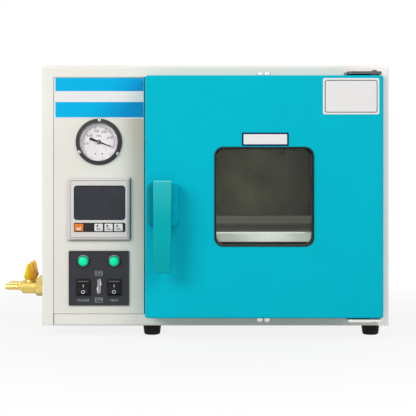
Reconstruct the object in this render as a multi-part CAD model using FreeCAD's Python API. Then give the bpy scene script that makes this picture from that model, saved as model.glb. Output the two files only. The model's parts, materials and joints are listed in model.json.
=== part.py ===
import FreeCAD, Part
import math
import os

# Bench vacuum drying oven. Millimetres, +X right, -Y towards the user, +Z up.
# The origin is on the bench under the middle of the whole outline.

V = FreeCAD.Vector
X, Y, Z = V(1, 0, 0), V(0, 1, 0), V(0, 0, 1)

# Cabinet
middle_x = 40.5            # cabinet middle, right of the origin because the valves stand out on the left
front_y = -146.5           # plane of the cabinet's front
cabinet_w = 523.5
cabinet_h = 392.0
cabinet_d = 350.0
sheet = 1.5
wrap_bend = 4.0            # outer radius of the cabinet's folded edges
border = 17.3              # painted rim round the front
foot_h = 16.5
foot_r = 14.0
seam = 1.2                 # gap between neighbouring panels
panel_lap = 5.0            # lugs of the inner front behind the control panel
fit = 0.3                  # clearance round parts that drop into a cut-out
running = 0.05             # radial clearance of a turning pin
skirt = 12.0               # folded edge of the rear panel
partition_t = 1.2
gland_thread = 8.0
gland_bore = 3.7
gland_l = 34.0
fuse_r = 6.2
cord_x = 26.0              # gland and fuse, each side of the control side's middle
cord_z = 48.0

# Control side
control_w = 137.4
gauge_z = 277.0            # heights above the cabinet's underside
controller_z = 176.0
switch_z = 71.6
gauge_flange_r = 35.0
gauge_can_r = 30.0
gauge_rim_t = 2.4
gauge_can_l = 42.0
gauge_port_l = 16.0
dial_r = 29.0
controller_size = 96.0     # square front of a standard panel controller
case_size = 89.0
bezel_t = 6.8
screen_w = 77.6
screen_h = 52.0
screen_lift = 9.4          # screen and key strip from the controller's middle
strip_h = 14.0
strip_drop = 27.6
screen_in = 2.6            # screen and strip behind the bezel's face
screen_side = 1.6
key_h = 11.2
key_fit = 0.25
key_stand = 1.8            # keys' backs before the cabinet's front
key_spans = [(-37.9, 13.4), (-7.8, 12.8), (7.4, 12.4), (21.8, 13.0)]
plate_w = 90.6
plate_h = 82.3
lamp_pitch = 46.4
lamp_r = 7.8
lamp_lift = 25.8           # lamps above the plate's middle
rocker_w = 22.0
rocker_h = 25.6
rocker_drop = 13.8         # rockers below the plate's middle
rocker_pivot = 2.2         # pivot behind the rocker frame's front
rocker_tilt = 8.0
rocker_frame_t = 1.8
rocker_band = 2.3
rocker_pin_r = 1.2

# Door
door_t = 42.0
door_r = 4.0               # corner seen from the front
door_bend = 3.0            # edge between front and sides
door_gap = 3.0
door_side = 14.6           # cabinet rim left visible beside the door
door_rim = 17.0            # and above and below it
door_seam = 2.8
window = 146.5
window_r = 13.0
holder_r = 20.0            # corners of the frame that holds the inner glass
glass_r = 12.0
glass_lap = 20.0           # inner glass beyond the chamber's mouth
glass_t = 14.0
trim_d = 10.0              # rubber channel's depth, which the outer pane stands behind
outer_glass_t = 4.0
pane_lap = 10.0            # outer pane beyond the window
bolt_r = 2.5               # bolts in the door's edges
bolt_half_pitch = 6.0
bolt_shift = 1.0
bolt_in = 8.0
pin_in = 12.0              # hinge pin from the door's side
pin_back = 12.0            # and behind the door's front
pin_r = 3.0
bushing_r = 5.0

# Chamber
chamber = 200.0            # inside width and height
chamber_d = 205.0
chamber_wall = 2.5
chamber_r = 12.0
flange_r = 18.0
flange_t = 10.0
rebate = 7.0               # hidden step of the flange behind the inner front
mouth_fit = 1.0
flange_rim = 25.0          # flange beyond the chamber's mouth
gasket_w = 8.0
gasket_proud = 2.0
gasket_seat = 5.0
gasket_in = 6.0            # groove beyond the mouth
probe_r = 3.0
probe_nut = 12.0
probe_side = 40.0          # probe from the chamber's middle
probe_up = 62.0
shelf_h = 44.0             # shelf above the chamber's floor

# Latch
latch_in = 27.0            # spindle from the door's left side
latch_drop = 11.2          # spindle below the door's middle
lever_l = 134.0
lever_w = 27.0
lever_t = 11.0
lever_bow = 3.0            # its face curves back towards both ends
lever_stand = 24.0         # free depth behind the lever
spindle_r = 5.0
stud_r = 4.0
stud_in = 6.0              # stud's seat in the lever
sleeve_r = 8.0             # tube that guides the spindle through the door
block_t = 22.4
block_w = 46.5
block_h = 66.0
slot_w = 14.0
slot_h = 36.0
slot_r = 2.5

# Valves
valve_z = 40.0             # above the cabinet's underside
valve_back = 160.0         # first valve behind the front
valve_pitch = 36.0
valve_turn = 41.5          # valve stem from the side wall
valve_hex = 19.0           # the valve's nut, barrel and end from the side wall
valve_barrel = 31.0
valve_end = 54.0
valve_in = 14.0            # its nipple inside the wall
spigot_l = 3.0
pipe_r = 6.0
pipe_bore = 4.0
pipe_socket = 10.0         # pipe ends stand this deep in the valves and the vessel's bosses
barb_l = 30.0
ball_r = 7.4
ball_fit = 0.15
stem_r = 3.0
neck_top = 12.0            # handle's seat above the valve's axis
spigot = 6.0
valve_nut = 26.0           # across the flats of the valve's nut
lock_nut = 24.0
lock_nut_t = 5.0
nipple_r = pipe_r + 2.0

left = middle_x - cabinet_w / 2
right = left + cabinet_w
back_y = front_y + cabinet_d
base = foot_h
top = base + cabinet_h
middle_z = base + cabinet_h / 2
frame_y = front_y + sheet
inside_y = frame_y + sheet
tuck = wrap_bend - sheet + fit

control_x = left + border + control_w / 2
partition_x = left + border + control_w + sheet
door_left = left + border + control_w + door_seam
door_right = right - door_side
door_w = door_right - door_left
door_h = cabinet_h - 2 * door_rim
door_x = door_left + door_w / 2
door_back = front_y - door_gap
door_front = door_back - door_t
door_top = middle_z + door_h / 2
door_low = middle_z - door_h / 2

flange = chamber + 2 * flange_rim
outer_glass_size = window + 2 * pane_lap
glass_size = chamber + 2 * glass_lap
mouth_y = front_y - 1.0
chamber_back = mouth_y + chamber_d
chamber_floor = middle_z - chamber / 2
chamber_left = door_x - chamber / 2 - chamber_wall
heater_t = 4.0
shelf_top = chamber_floor + shelf_h
shelf_t = 1.5
rail_leg = 12.0

glass_back = mouth_y - gasket_proud - 0.2
glass_front = glass_back - glass_t
frame_lip = 5.0
holder_front = glass_front - frame_lip
holder = glass_size + 28.0

pin_x = door_right - pin_in
pin_y = door_front + pin_back
hinge_t = 4.0
hinge_gap = 2.0
hinge_l = 51.0

latch_x = door_left + latch_in
latch_z = middle_z - latch_drop
lever_back = door_front - lever_stand
keeper_t = 3.0
keeper_back = inside_y + keeper_t
cam_t = 6.0
cam_gap = 0.5

gauge_at_z = base + gauge_z
controller_at_z = base + controller_z
plate_at_z = base + switch_z
lamp_xs = [control_x - lamp_pitch / 2, control_x + lamp_pitch / 2]
lamp_at_z = plate_at_z + lamp_lift
rocker_at_z = plate_at_z - rocker_drop
plate_t = 2.0
plate_y = front_y - plate_t

valve_at_z = base + valve_z
valve_ys = [front_y + valve_back, front_y + valve_back + valve_pitch]
gas_port_z = chamber_floor + 130.0
stem_x = left - valve_turn


def block(x0, x1, y0, y1, z0, z1):
    return Part.makeBox(x1 - x0, y1 - y0, z1 - z0, V(x0, y0, z0))


def rod(r, length, x, y, z, axis):
    return Part.makeCylinder(r, length, V(x, y, z), axis)


def tube(outer_r, inner_r, length, x, y, z, axis):
    return rod(outer_r, length, x, y, z, axis).cut(rod(inner_r, length, x, y, z, axis))


def along(shape, axis):
    """Straight edges that run along an axis."""
    straight = [e for e in shape.Edges if e.Curve.TypeId == "Part::GeomLine"]
    return [e for e in straight if abs(e.Curve.Direction.dot(axis)) > 0.999]


def at_y(shape, y):
    """Edges that lie in one plane facing the user."""
    near = 0.001
    return [e for e in shape.Edges if abs(e.BoundBox.YMin - y) < near and abs(e.BoundBox.YMax - y) < near]


def slab(x, z, w, h, r, y0, y1):
    """Upright plate with rounded corners, seen from the front as w by h."""
    plate = block(x - w / 2, x + w / 2, y0, y1, z - h / 2, z + h / 2)
    return plate.makeFillet(r, along(plate, Y))


def ring_slab(x, z, w, h, r, band, y0, y1):
    """Rounded frame, measured over its outside, with a band of even width."""
    hole = slab(x, z, w - 2 * band, h - 2 * band, max(r - band, 0.5), y0, y1)
    return slab(x, z, w, h, r, y0, y1).cut(hole)


def turned(profile, x, y, z, axis):
    """Solid of revolution from (radius, distance along the axis) points."""
    points = [V(r, 0, h) for r, h in profile]
    face = Part.Face(Part.makePolygon(points + points[:1]))
    solid = face.revolve(V(0, 0, 0), Z, 360)
    solid.Placement = FreeCAD.Placement(V(x, y, z), FreeCAD.Rotation(Z, axis))
    return solid


def extruded(points, path):
    return Part.Face(Part.makePolygon(points + points[:1])).extrude(path)


def dome(r, rise, x, y, z, axis):
    """Cap of a sphere, standing on a flat circle."""
    ball = (r * r + rise * rise) / (2 * rise)
    half = math.asin(r / ball) / 2
    crown = V(0, 0, rise)
    middle = V(ball * math.sin(half), 0, ball * math.cos(half) - (ball - rise))
    arc = Part.Arc(V(r, 0, 0), middle, crown).toShape()
    edges = [Part.makeLine(V(0, 0, 0), V(r, 0, 0)), arc, Part.makeLine(crown, V(0, 0, 0))]
    cap = Part.Face(Part.Wire(edges)).revolve(V(0, 0, 0), Z, 360)
    cap.Placement = FreeCAD.Placement(V(x, y, z), FreeCAD.Rotation(Z, axis))
    return cap


def hexagon(across, length, x, y, z, axis):
    """Hexagon bar with turned-off corners at both ends."""
    corner_r = across / math.sqrt(3)
    turns = [k * math.pi / 3 for k in range(6)]
    points = [V(corner_r * math.cos(a), corner_r * math.sin(a), 0) for a in turns]
    bar = extruded(points, Z * length)
    bar.Placement = FreeCAD.Placement(V(x, y, z), FreeCAD.Rotation(Z, axis))
    bevel = corner_r - across / 2
    flat_r = across / 2
    cone = [(0, 0), (flat_r, 0), (corner_r, bevel), (corner_r, length - bevel), (flat_r, length), (0, length)]
    return bar.common(turned(cone, x, y, z, axis))


def bent_path(points, bend):
    """Square route with round corners."""
    edges = []
    start = points[0]
    for before, corner, after in zip(points, points[1:], points[2:]):
        out = (after - corner).normalize()
        near = corner + (before - corner).normalize() * bend
        far = corner + out * bend
        centre = near + out * bend
        middle = centre + (corner - centre).normalize() * bend
        edges.append(Part.makeLine(start, near))
        edges.append(Part.Arc(near, middle, far).toShape())
        start = far
    edges.append(Part.makeLine(start, points[-1]))
    return Part.Wire(edges)


def pipe(points, bend, outer_r, bore):
    spine = bent_path(points, bend)
    heading = points[1] - points[0]
    skins = []
    for r in (outer_r, bore):
        circle = Part.Wire([Part.makeCircle(r, points[0], heading)])
        skins.append(spine.makePipeShell([circle], True, True))
    return skins[0].cut(skins[1])


def hinge_slot(z):
    x0, x1 = hinge_span()
    return block(x0 - fit, x1 + fit, front_y - sheet, inside_y + sheet, z - fit, z + hinge_t + fit)


def hinge_span():
    return pin_x - hinge_l + pin_in - sheet, pin_x + pin_in - sheet


def hinge_levels():
    return door_low - hinge_gap - hinge_t, door_top + hinge_gap


def pipe_points():
    """The pump line passes the gauge; the inlet line goes straight to its own port."""
    start_x = left + valve_in - pipe_socket
    pump_x = left + 45.0
    inlet_x = left + 65.0
    end_x = chamber_left - 4.0
    pump_y, inlet_y = valve_ys
    pump = [V(start_x, pump_y, valve_at_z), V(pump_x, pump_y, valve_at_z),
            V(pump_x, pump_y, gauge_at_z), V(end_x, pump_y, gauge_at_z)]
    inlet = [V(start_x, inlet_y, valve_at_z), V(inlet_x, inlet_y, valve_at_z),
             V(inlet_x, inlet_y, gas_port_z), V(end_x, inlet_y, gas_port_z)]
    return pump, inlet


def port_rods(r, x0, x1):
    ports = zip(valve_ys, (gauge_at_z, gas_port_z))
    return [rod(r, x1 - x0, x0, y, z, X) for y, z in ports]


def cabinet_wrap():
    """One sheet over the sides and top, rolled in at the front as the painted rim."""
    outer = block(left, right, front_y, back_y, base, top)
    rolled = [e for e in along(outer, Y) if e.BoundBox.ZMin > middle_z]
    rolled += [e for e in at_y(outer, front_y) if e.BoundBox.ZMax > base + sheet]
    outer = outer.makeFillet(wrap_bend, rolled)
    low = base - wrap_bend
    inner = block(left + sheet, right - sheet, frame_y, back_y + wrap_bend, low, top - sheet)
    creases = [e for e in along(inner, Y) if e.BoundBox.ZMin > middle_z]
    creases += [e for e in at_y(inner, frame_y) if e.BoundBox.ZMax > base]
    inner = inner.makeFillet(wrap_bend - sheet, creases)
    rim = block(left + border, right - border, front_y - sheet, front_y + wrap_bend, low, top - border)
    shell = outer.cut([inner, rim, hinge_slot(hinge_levels()[0]), hinge_slot(hinge_levels()[1])])
    wall_hole = nipple_r + fit
    return shell.cut([rod(wall_hole, 4 * sheet, left - sheet, y, valve_at_z, X) for y in valve_ys])


def base_pan():
    """Bottom tray with a front strip that closes the painted rim, and air slots under the control side."""
    upstand = 18.0
    x0, x1, y0, y1 = left + sheet, right - sheet, frame_y + tuck, back_y - sheet
    tray = block(x0, x1, y0, y1, base, base + upstand)
    tray = tray.cut(block(x0 + sheet, x1 - sheet, y0 - sheet, y1 - sheet, base + sheet, top))
    tray = tray.fuse(block(x0 + tuck, x1 - tuck, frame_y, y0 + sheet, base, base + sheet))
    strip = block(left + border + seam, right - border - seam, front_y, frame_y + sheet, base, base + border)
    edge = [e for e in at_y(strip, front_y) if e.BoundBox.ZMax < base + sheet]
    strip = strip.makeFillet(2.5, edge)
    behind = block(left, right, frame_y, inside_y, base + sheet, base + border + sheet)
    tray = tray.fuse(strip.cut(behind)).removeSplitter()
    tray = tray.cut(hinge_slot(hinge_levels()[0]))
    slots, slot_l, air_w, pitch = 6, 60.0, 4.0, 14.0
    x = left + 90.0
    for k in range(slots):
        y = front_y + 60.0 + k * pitch
        tray = tray.cut(block(x - slot_l / 2, x + slot_l / 2, y, y + air_w, base - sheet, base + 2 * sheet))
    return tray


def rear_panel():
    """Back cover with pressed louvres behind the controls and holes for the cord and fuse."""
    x0, x1 = left + sheet, right - sheet
    z0, z1 = base + sheet, top - sheet
    outline = block(x0, x1, back_y - skirt, back_y, z0, z1)
    outline = outline.makeFillet(tuck, [e for e in along(outline, Y) if e.BoundBox.ZMin > middle_z])
    plate = block(x0, x1, back_y - sheet, back_y, z0, z1)
    up = 20.0
    skirts = block(x0, x1, back_y - skirt, back_y - sheet, z0 + up, z1)
    plate = plate.fuse(skirts.cut(block(x0 + sheet, x1 - sheet, back_y - skirt, back_y, z0, z1 - sheet)))
    plate = plate.common(outline)
    louvres, louvre_l, louvre_h, louvre_d = 8, 84.0, 9.0, 5.0
    pitch, down, skin = 17.0, 60.0, 1.2
    x0, x1 = control_x - louvre_l / 2, control_x + louvre_l / 2
    for k in range(louvres):
        z = top - down - k * pitch
        hood = [V(x0, back_y, z), V(x0, back_y + louvre_d, z - louvre_h), V(x0, back_y, z - louvre_h)]
        outer = extruded(hood, X * louvre_l)
        inner = extruded([p + V(skin, -0.8, -1.4) for p in hood], X * (louvre_l - 2 * skin))
        opening = block(x0 + skin, x1 - skin, back_y - 2 * sheet, back_y + 0.2, z - louvre_h + 0.6, z - 3.0)
        plate = plate.fuse(outer).cut([inner, opening])
    gland_x, gland_z = gland_place()
    fuse_x, fuse_z = fuse_place()
    holes = [rod(gland_thread + fit, 4 * sheet, gland_x, back_y - 2 * sheet, gland_z, Y),
             rod(fuse_r + fit, 4 * sheet, fuse_x, back_y - 2 * sheet, fuse_z, Y)]
    return plate.cut(holes).removeSplitter()


def gland_place():
    return control_x + cord_x, base + cord_z


def fuse_place():
    return control_x - cord_x, base + cord_z


def front_frame():
    """Inner front with the openings for the controls, the chamber's mouth, the hinges and the latch."""
    side = sheet + tuck
    plate = block(left + side, right - side, frame_y, inside_y, base + sheet, top - side)
    mouth = slab(door_x, middle_z, flange + 2 * mouth_fit, flange + 2 * mouth_fit, flange_r + mouth_fit,
                 front_y, inside_y + sheet)
    latch = slab(latch_x, latch_z, slot_w + 2 * fit, slot_h + 2 * fit, slot_r + fit, front_y, inside_y + sheet)
    hinges = [hinge_slot(z) for z in hinge_levels()]
    return plate.cut([control_opening(), mouth, latch] + hinges)


def control_opening():
    """Hole a little wider than the control panel, less the lugs that the panel is screwed to."""
    over, lug_w, lug_in, corner = 0.4, 7.0, 24.0, 2.0
    w, h = control_w + 2 * over, cabinet_h - 2 * border + 2 * over
    reach = panel_lap + over
    hole = slab(control_x, middle_z, w, h, corner, front_y, inside_y + sheet)
    span = h / 2 - lug_in
    lugs = []
    for side in (-1, 1):
        x = control_x + side * (w / 2 - reach / 2)
        for z in (middle_z - span, middle_z, middle_z + span):
            lugs.append(slab(x, z, reach, lug_w, 0.5, front_y, inside_y + sheet))
    return hole.cut(lugs)


def control_panel():
    w, h = control_w - seam, cabinet_h - 2 * border - seam
    panel = slab(control_x, middle_z, w, h, 1.0, front_y, frame_y)
    cuts = [rod(gauge_can_r + fit, 4 * sheet, control_x, front_y - sheet, gauge_at_z, Y),
            slab(control_x, controller_at_z, case_size + 1, case_size + 1, 3.0, front_y - sheet, inside_y)]
    cuts += [rod(lamp_r + fit, 4 * sheet, x, front_y - sheet, lamp_at_z, Y) for x in lamp_xs]
    w, h = rocker_w - 2.4, rocker_h - 2.4
    cuts += [slab(x, rocker_at_z, w, h, 1.0, front_y - sheet, inside_y) for x in lamp_xs]
    return panel.cut(cuts)


def partition():
    """Sheet between the controls and the heated part, with folded edges."""
    fold, t = 12.0, partition_t
    z0, z1 = base + sheet, top - sheet
    y1 = back_y - skirt
    wall = block(partition_x, partition_x + t, inside_y, y1, z0, z1)
    for z in (z0, z1 - t):
        wall = wall.fuse(block(partition_x - fold, partition_x, inside_y, y1 - fold, z, z + t))
    corner = block(partition_x - fold, partition_x + t, frame_y, frame_y + tuck, z1 - tuck, z1)
    return wall.cut([corner] + port_rods(nipple_r, partition_x - fold, partition_x + fold))


def chamber_box():
    """Welded vacuum vessel: rounded liner, thick rebated flange with a gasket groove, and two pipe sockets."""
    outer = chamber + 2 * chamber_wall
    body = slab(door_x, middle_z, outer, outer, chamber_r + chamber_wall, mouth_y, chamber_back + chamber_wall)
    body = body.fuse(slab(door_x, middle_z, flange, flange, flange_r, mouth_y, mouth_y + flange_t))
    body = body.fuse(slab(door_x, middle_z, flange + 2 * rebate, flange + 2 * rebate, flange_r + rebate / 2,
                          inside_y, mouth_y + flange_t))
    boss_l, boss_r = 14.0, pipe_r + 3.0
    body = body.fuse(port_rods(boss_r, chamber_left - boss_l, chamber_left + chamber_wall / 2))
    liner = slab(door_x, middle_z, chamber, chamber, chamber_r, mouth_y - sheet, chamber_back)
    lip = [e for e in at_y(liner, chamber_back)]
    liner = liner.makeFillet(5.0, lip)
    groove = gasket_band(gasket_w, mouth_y - sheet, mouth_y + gasket_seat)
    body = body.cut([liner, groove])
    body = body.cut(port_rods(pipe_r + running, chamber_left - boss_l, chamber_left - boss_l + pipe_socket))
    body = body.cut(port_rods(pipe_bore, chamber_left - boss_l, chamber_left + 2 * chamber_r))
    body = body.cut(rod(probe_r, 8 * sheet, probe_x(), chamber_back - sheet, probe_z(), Y))
    return body.removeSplitter()


def probe_x():
    return door_x + probe_side


def probe_z():
    return middle_z + probe_up


def gasket_band(w, y0, y1):
    """Rounded frame that lies in the flange round the mouth."""
    size = chamber + 2 * gasket_in + 2 * w
    return ring_slab(door_x, middle_z, size, size, chamber_r + gasket_in + w, w, y0, y1)


def chamber_gasket():
    """Silicone ring: a square foot in the groove and a rounded lip that meets the glass."""
    side = 0.15
    w = gasket_w - 2 * side
    size = chamber + 2 * gasket_in + 2 * gasket_w - 2 * side
    r = chamber_r + gasket_in + gasket_w - side
    ring = ring_slab(door_x, middle_z, size, size, r, w, mouth_y - gasket_proud, mouth_y + gasket_seat)
    return ring.makeFillet(1.6, at_y(ring, mouth_y - gasket_proud))


def heater_pads():
    """Flat pads clamped on the four sides of the chamber; the left one stays clear of the pipe sockets."""
    y0, y1 = mouth_y + 22.0, chamber_back - 12.0
    half = chamber / 2 + chamber_wall
    reach = chamber / 2 - 24.0
    low_top = gas_port_z - 16.0
    pads = [block(door_x - reach, door_x + reach, y0, y1, middle_z + half, middle_z + half + heater_t),
            block(door_x - reach, door_x + reach, y0, y1, middle_z - half - heater_t, middle_z - half),
            block(door_x + half, door_x + half + heater_t, y0, y1, middle_z - reach, middle_z + reach),
            block(door_x - half - heater_t, door_x - half, y0, y1, middle_z - reach, low_top)]
    return Part.makeCompound(pads)


def insulation():
    """Mineral wool round the vessel, hollow where the vessel and its pads sit."""
    y0 = inside_y + 13.0
    y1 = chamber_back + 60.0
    gap = 1.0
    x0, x1 = partition_x + partition_t, right - 2 * sheet - gap
    wool = block(x0, x1, y0, y1, base + sheet, top - 2 * sheet - 12.0)
    half = chamber / 2 + chamber_wall + heater_t
    hollow = slab(door_x, middle_z, 2 * half, 2 * half, chamber_r, y0 - gap, chamber_back + chamber_wall)
    ports = port_rods(pipe_r + 4.0, partition_x - gap, chamber_left + chamber_wall + chamber_r)
    probe = rod(probe_nut / 2 + gap, y1 - chamber_back, probe_x(), chamber_back, probe_z(), Y)
    return wool.cut([hollow, probe] + ports)


def temperature_probe():
    """Closed sheath through the chamber's back, with its hexagon gland."""
    reach = 22.0
    gland = hexagon(probe_nut, 7.0, probe_x(), chamber_back + chamber_wall, probe_z(), Y)
    sheath = rod(probe_r - 0.05, reach + 30.0, probe_x(), chamber_back - reach, probe_z(), Y)
    tip = dome(probe_r - 0.05, 2.0, probe_x(), chamber_back - reach, probe_z(), -Y)
    return sheath.fuse([gland, tip]).removeSplitter()


def shelf_rails():
    """Angle rails on both side walls, at the shelf's level and at a second one above."""
    t = 2.0
    leg = 9.0
    second = 66.0
    y0, y1 = mouth_y + 24.0, chamber_back - 12.0
    rails = []
    for side in (-1, 1):
        wall_x = door_x + side * chamber / 2
        for z in (shelf_top - shelf_t, shelf_top + second):
            shape = [V(wall_x, y0, z), V(wall_x - side * leg, y0, z), V(wall_x - side * leg, y0, z - t),
                     V(wall_x - side * t, y0, z - t), V(wall_x - side * t, y0, z - rail_leg),
                     V(wall_x, y0, z - rail_leg)]
            rails.append(extruded(shape, Y * (y1 - y0)))
    return Part.makeCompound(rails)


def shelf():
    """Folded sheet: lip down at the front, stop up at the back."""
    lip, stop = 15.0, 15.0
    side_gap = 1.5
    y0, y1 = mouth_y + 20.0, chamber_back - 16.0
    z1, z0 = shelf_top, shelf_top - shelf_t
    shape = [V(0, y0, z1), V(0, y1 - shelf_t, z1), V(0, y1 - shelf_t, z1 + stop), V(0, y1, z1 + stop),
             V(0, y1, z0), V(0, y0 + shelf_t, z0), V(0, y0 + shelf_t, z1 - lip), V(0, y0, z1 - lip)]
    x0 = door_x - chamber / 2 + side_gap
    plate = extruded([V(x0, p.y, p.z) for p in shape], X * (chamber - 2 * side_gap))
    bends = [e for e in along(plate, X) if abs(e.BoundBox.ZMax - z1) < 0.01 and e.BoundBox.YMax < y0 + 0.01]
    bends += [e for e in along(plate, X) if abs(e.BoundBox.ZMin - z0) < 0.01 and e.BoundBox.YMin > y1 - 0.01]
    return plate.makeFillet(1.4, bends)


def hinge_plates():
    """Angle brackets behind the front: a tongue comes out over and under the door to hold the pins."""
    x0, x1 = hinge_span()
    tail = 30.0
    leaf_t = 4.0
    out_y = pin_y - 9.0
    plates = []
    for side, z in zip((1, -1), hinge_levels()):
        tongue = block(x0, x1, out_y, inside_y + leaf_t, z, z + hinge_t)
        nose = [e for e in along(tongue, Z) if e.BoundBox.YMax < front_y]
        tongue = tongue.makeFillet(7.0, nose)
        z0, z1 = (z, z + tail) if side > 0 else (z + hinge_t - tail, z + hinge_t)
        leaf = block(x0, x1, inside_y, inside_y + leaf_t, z0, z1)
        plate = tongue.fuse(leaf).removeSplitter()
        plates.append(plate.cut(rod(pin_r, 4 * hinge_t, pin_x, pin_y, z - hinge_t, Z)))
    return Part.makeCompound(plates)


def hinge_pins():
    """Shouldered pins, riveted in the brackets, that turn in the door's bushings."""
    head_r, head_h = 5.0, 2.6
    reach = 14.0
    pins = []
    for side, z in zip((-1, 1), hinge_levels()):
        outer = z + hinge_t if side > 0 else z
        length = hinge_t + hinge_gap + reach
        shank = rod(pin_r, length, pin_x, pin_y, outer, Z * -side)
        head = dome(head_r, head_h, pin_x, pin_y, outer, Z * side)
        pins.append(shank.fuse(head).removeSplitter())
    return Part.makeCompound(pins)


def keeper_plate():
    """Slotted steel plate behind the front that the latch's cam turns behind."""
    margin = 8.0
    w, h = slot_w + 2 * margin, slot_h + 2 * margin
    plate = slab(latch_x, latch_z, w, h, 3.0, inside_y, keeper_back)
    return plate.cut(slab(latch_x, latch_z, slot_w, slot_h, slot_r, front_y, keeper_back + sheet))


def foot_places():
    inset = 25.0
    x_left = partition_x + 9.0
    return [(x, y) for x in (x_left, right - inset) for y in (front_y + inset, back_y - inset)]


def feet():
    """Rubber feet under the heated part: tapered, with a round lower edge and a sunk screw seat."""
    pads = []
    for x, y in foot_places():
        body = turned([(0, 0), (foot_r - 2.0, 0), (foot_r, foot_h), (0, foot_h)], x, y, 0, Z)
        rim = [e for e in body.Edges if e.BoundBox.ZMax < 0.01 and e.BoundBox.XLength > foot_r]
        body = body.makeFillet(3.0, rim)
        body = body.cut(rod(4.5, foot_h - 4.0, x, y, 0, Z))
        pads.append(body)
    return Part.makeCompound(pads)


def gauge_case():
    """Panel gauge: can, three-screw flange, raised bezel, movement block and rear port."""
    x, z = control_x, gauge_at_z
    wall, rim_t, bezel_h, bezel_band = 1.5, gauge_rim_t, 4.6, 1.1
    can_l = gauge_can_l + rim_t
    rim_y = front_y - rim_t
    glass_r = dial_r + 0.5
    can = rod(gauge_can_r, can_l, x, rim_y, z, Y)
    rim = rod(gauge_flange_r, rim_t, x, rim_y, z, Y)
    rim = rim.makeFillet(1.2, at_y(rim, rim_y))
    ring = turned([(0, 0), (glass_r + bezel_band, 0), (glass_r + bezel_band, bezel_h - 1.2),
                   (glass_r + 0.5, bezel_h), (0, bezel_h)], x, rim_y, z, -Y)
    seat = bezel_h - 3.5
    bore = turned([(0, wall - can_l), (gauge_can_r - wall, wall - can_l), (gauge_can_r - wall, -rim_t - wall),
                   (dial_r + 0.1, -rim_t - wall), (dial_r + 0.1, seat), (glass_r, seat),
                   (glass_r, seat + 2.3), (glass_r - 0.9, bezel_h), (0, bezel_h)], x, rim_y, z, -Y)
    case = can.fuse([rim, ring]).cut(bore)
    movement_y = dial_back() + 1.0
    case = case.fuse(rod(9.0, rim_y + can_l - wall - movement_y, x, movement_y, z, Y))
    case = case.cut(rod(1.0 + running, 12.0, x, dial_back(), z, Y))
    port_y = rim_y + can_l
    case = case.fuse([hexagon(14.0, 8.0, x, port_y, z, Y), rod(pipe_r, gauge_port_l, x, port_y, z, Y)])
    return case.removeSplitter()


def gauge_port_y():
    """End of the gauge's rear port."""
    return front_y + gauge_can_l + gauge_port_l


def dial_back():
    return front_y - 0.4


def gauge_dial():
    """White dial plate on the movement block."""
    plate = rod(dial_r, 1.4, control_x, dial_back() - 0.4, gauge_at_z, Y)
    return plate.cut(rod(1.6, 4.0, control_x, dial_back() - 2.0, gauge_at_z, Y))


def gauge_glass():
    thickness, before = 2.0, 5.7
    return rod(dial_r + 0.45, thickness, control_x, front_y - before, gauge_at_z, Y)


def gauge_needle():
    """Tapered pointer with a broad counterweight, hub and spindle, at its zero on the right."""
    x, z = control_x, gauge_at_z
    y0, t = dial_back() - 1.9, 0.5
    tip_l, tail_l = 23.5, 13.8
    needle = extruded([V(tip_l, 0, 0.35), V(-3.0, 0, 1.2), V(-tail_l, 0, 2.2), V(-tail_l - 1.2, 0, 0),
                       V(-tail_l, 0, -2.2), V(-3.0, 0, -1.2), V(tip_l, 0, -0.35)], Y * t)
    needle.rotate(V(0, 0, 0), Y, 21.0)
    needle.translate(V(x, y0, z))
    hub = turned([(0, 0), (1.0, 0), (1.0, 9.0), (2.4, 9.0), (3.0, 9.6), (3.0, 10.4), (2.2, 11.0), (0, 11.0)],
                 x, y0 + t + 9.2, z, -Y)
    return needle.fuse(hub).removeSplitter()


def controller_case():
    """Moulded box behind the panel, ribbed at its sides for the clamp, with a rear terminal block."""
    x, z = control_x, controller_at_z
    depth = 74.0
    case = slab(x, z, case_size, case_size, 2.5, front_y, front_y + depth)
    case = case.makeFillet(2.0, at_y(case, front_y + depth))
    notch_d, notch_h = 1.6, 2.4
    for k in range(7):
        y = front_y + 18.0 + k * 6.0
        for side in (-1, 1):
            face_z = z + side * case_size / 2
            case = case.cut(block(x - 12, x + 12, y, y + notch_h, face_z - notch_d, face_z + notch_d))
    half_w, half_h, block_d, poles, pole_pitch, slot_t = 34.0, 30.0, 9.0, 11, 5.2, 2.6
    end_y = front_y + depth
    case = case.fuse(block(x - half_w, x + half_w, end_y, end_y + block_d, z - half_h, z + half_h))
    for k in range(poles):
        slot_z = z + (k - poles / 2) * pole_pitch + slot_t / 2
        slot_y = end_y + block_d / 2
        x0, x1 = x - half_w + 2, x + half_w - 2
        case = case.cut(block(x0, x1, slot_y, end_y + 2 * block_d, slot_z, slot_z + slot_t))
    wall, hollow_d = 3.0, 14.0
    hollow = slab(x, z, case_size - 2 * wall, case_size - 2 * wall, 2.0, front_y - 1.0, front_y + hollow_d)
    return case.cut(hollow)


def screen_place():
    return control_x + screen_side, controller_at_z + screen_lift


def strip_place():
    return control_x + screen_side, controller_at_z - strip_drop


def key_openings(gap, y0, y1):
    sx, sz = strip_place()
    return [slab(sx + x0 + w / 2, sz, w + 2 * gap, key_h + 2 * gap, 1.0 + gap, y0, y1) for x0, w in key_spans]


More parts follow.
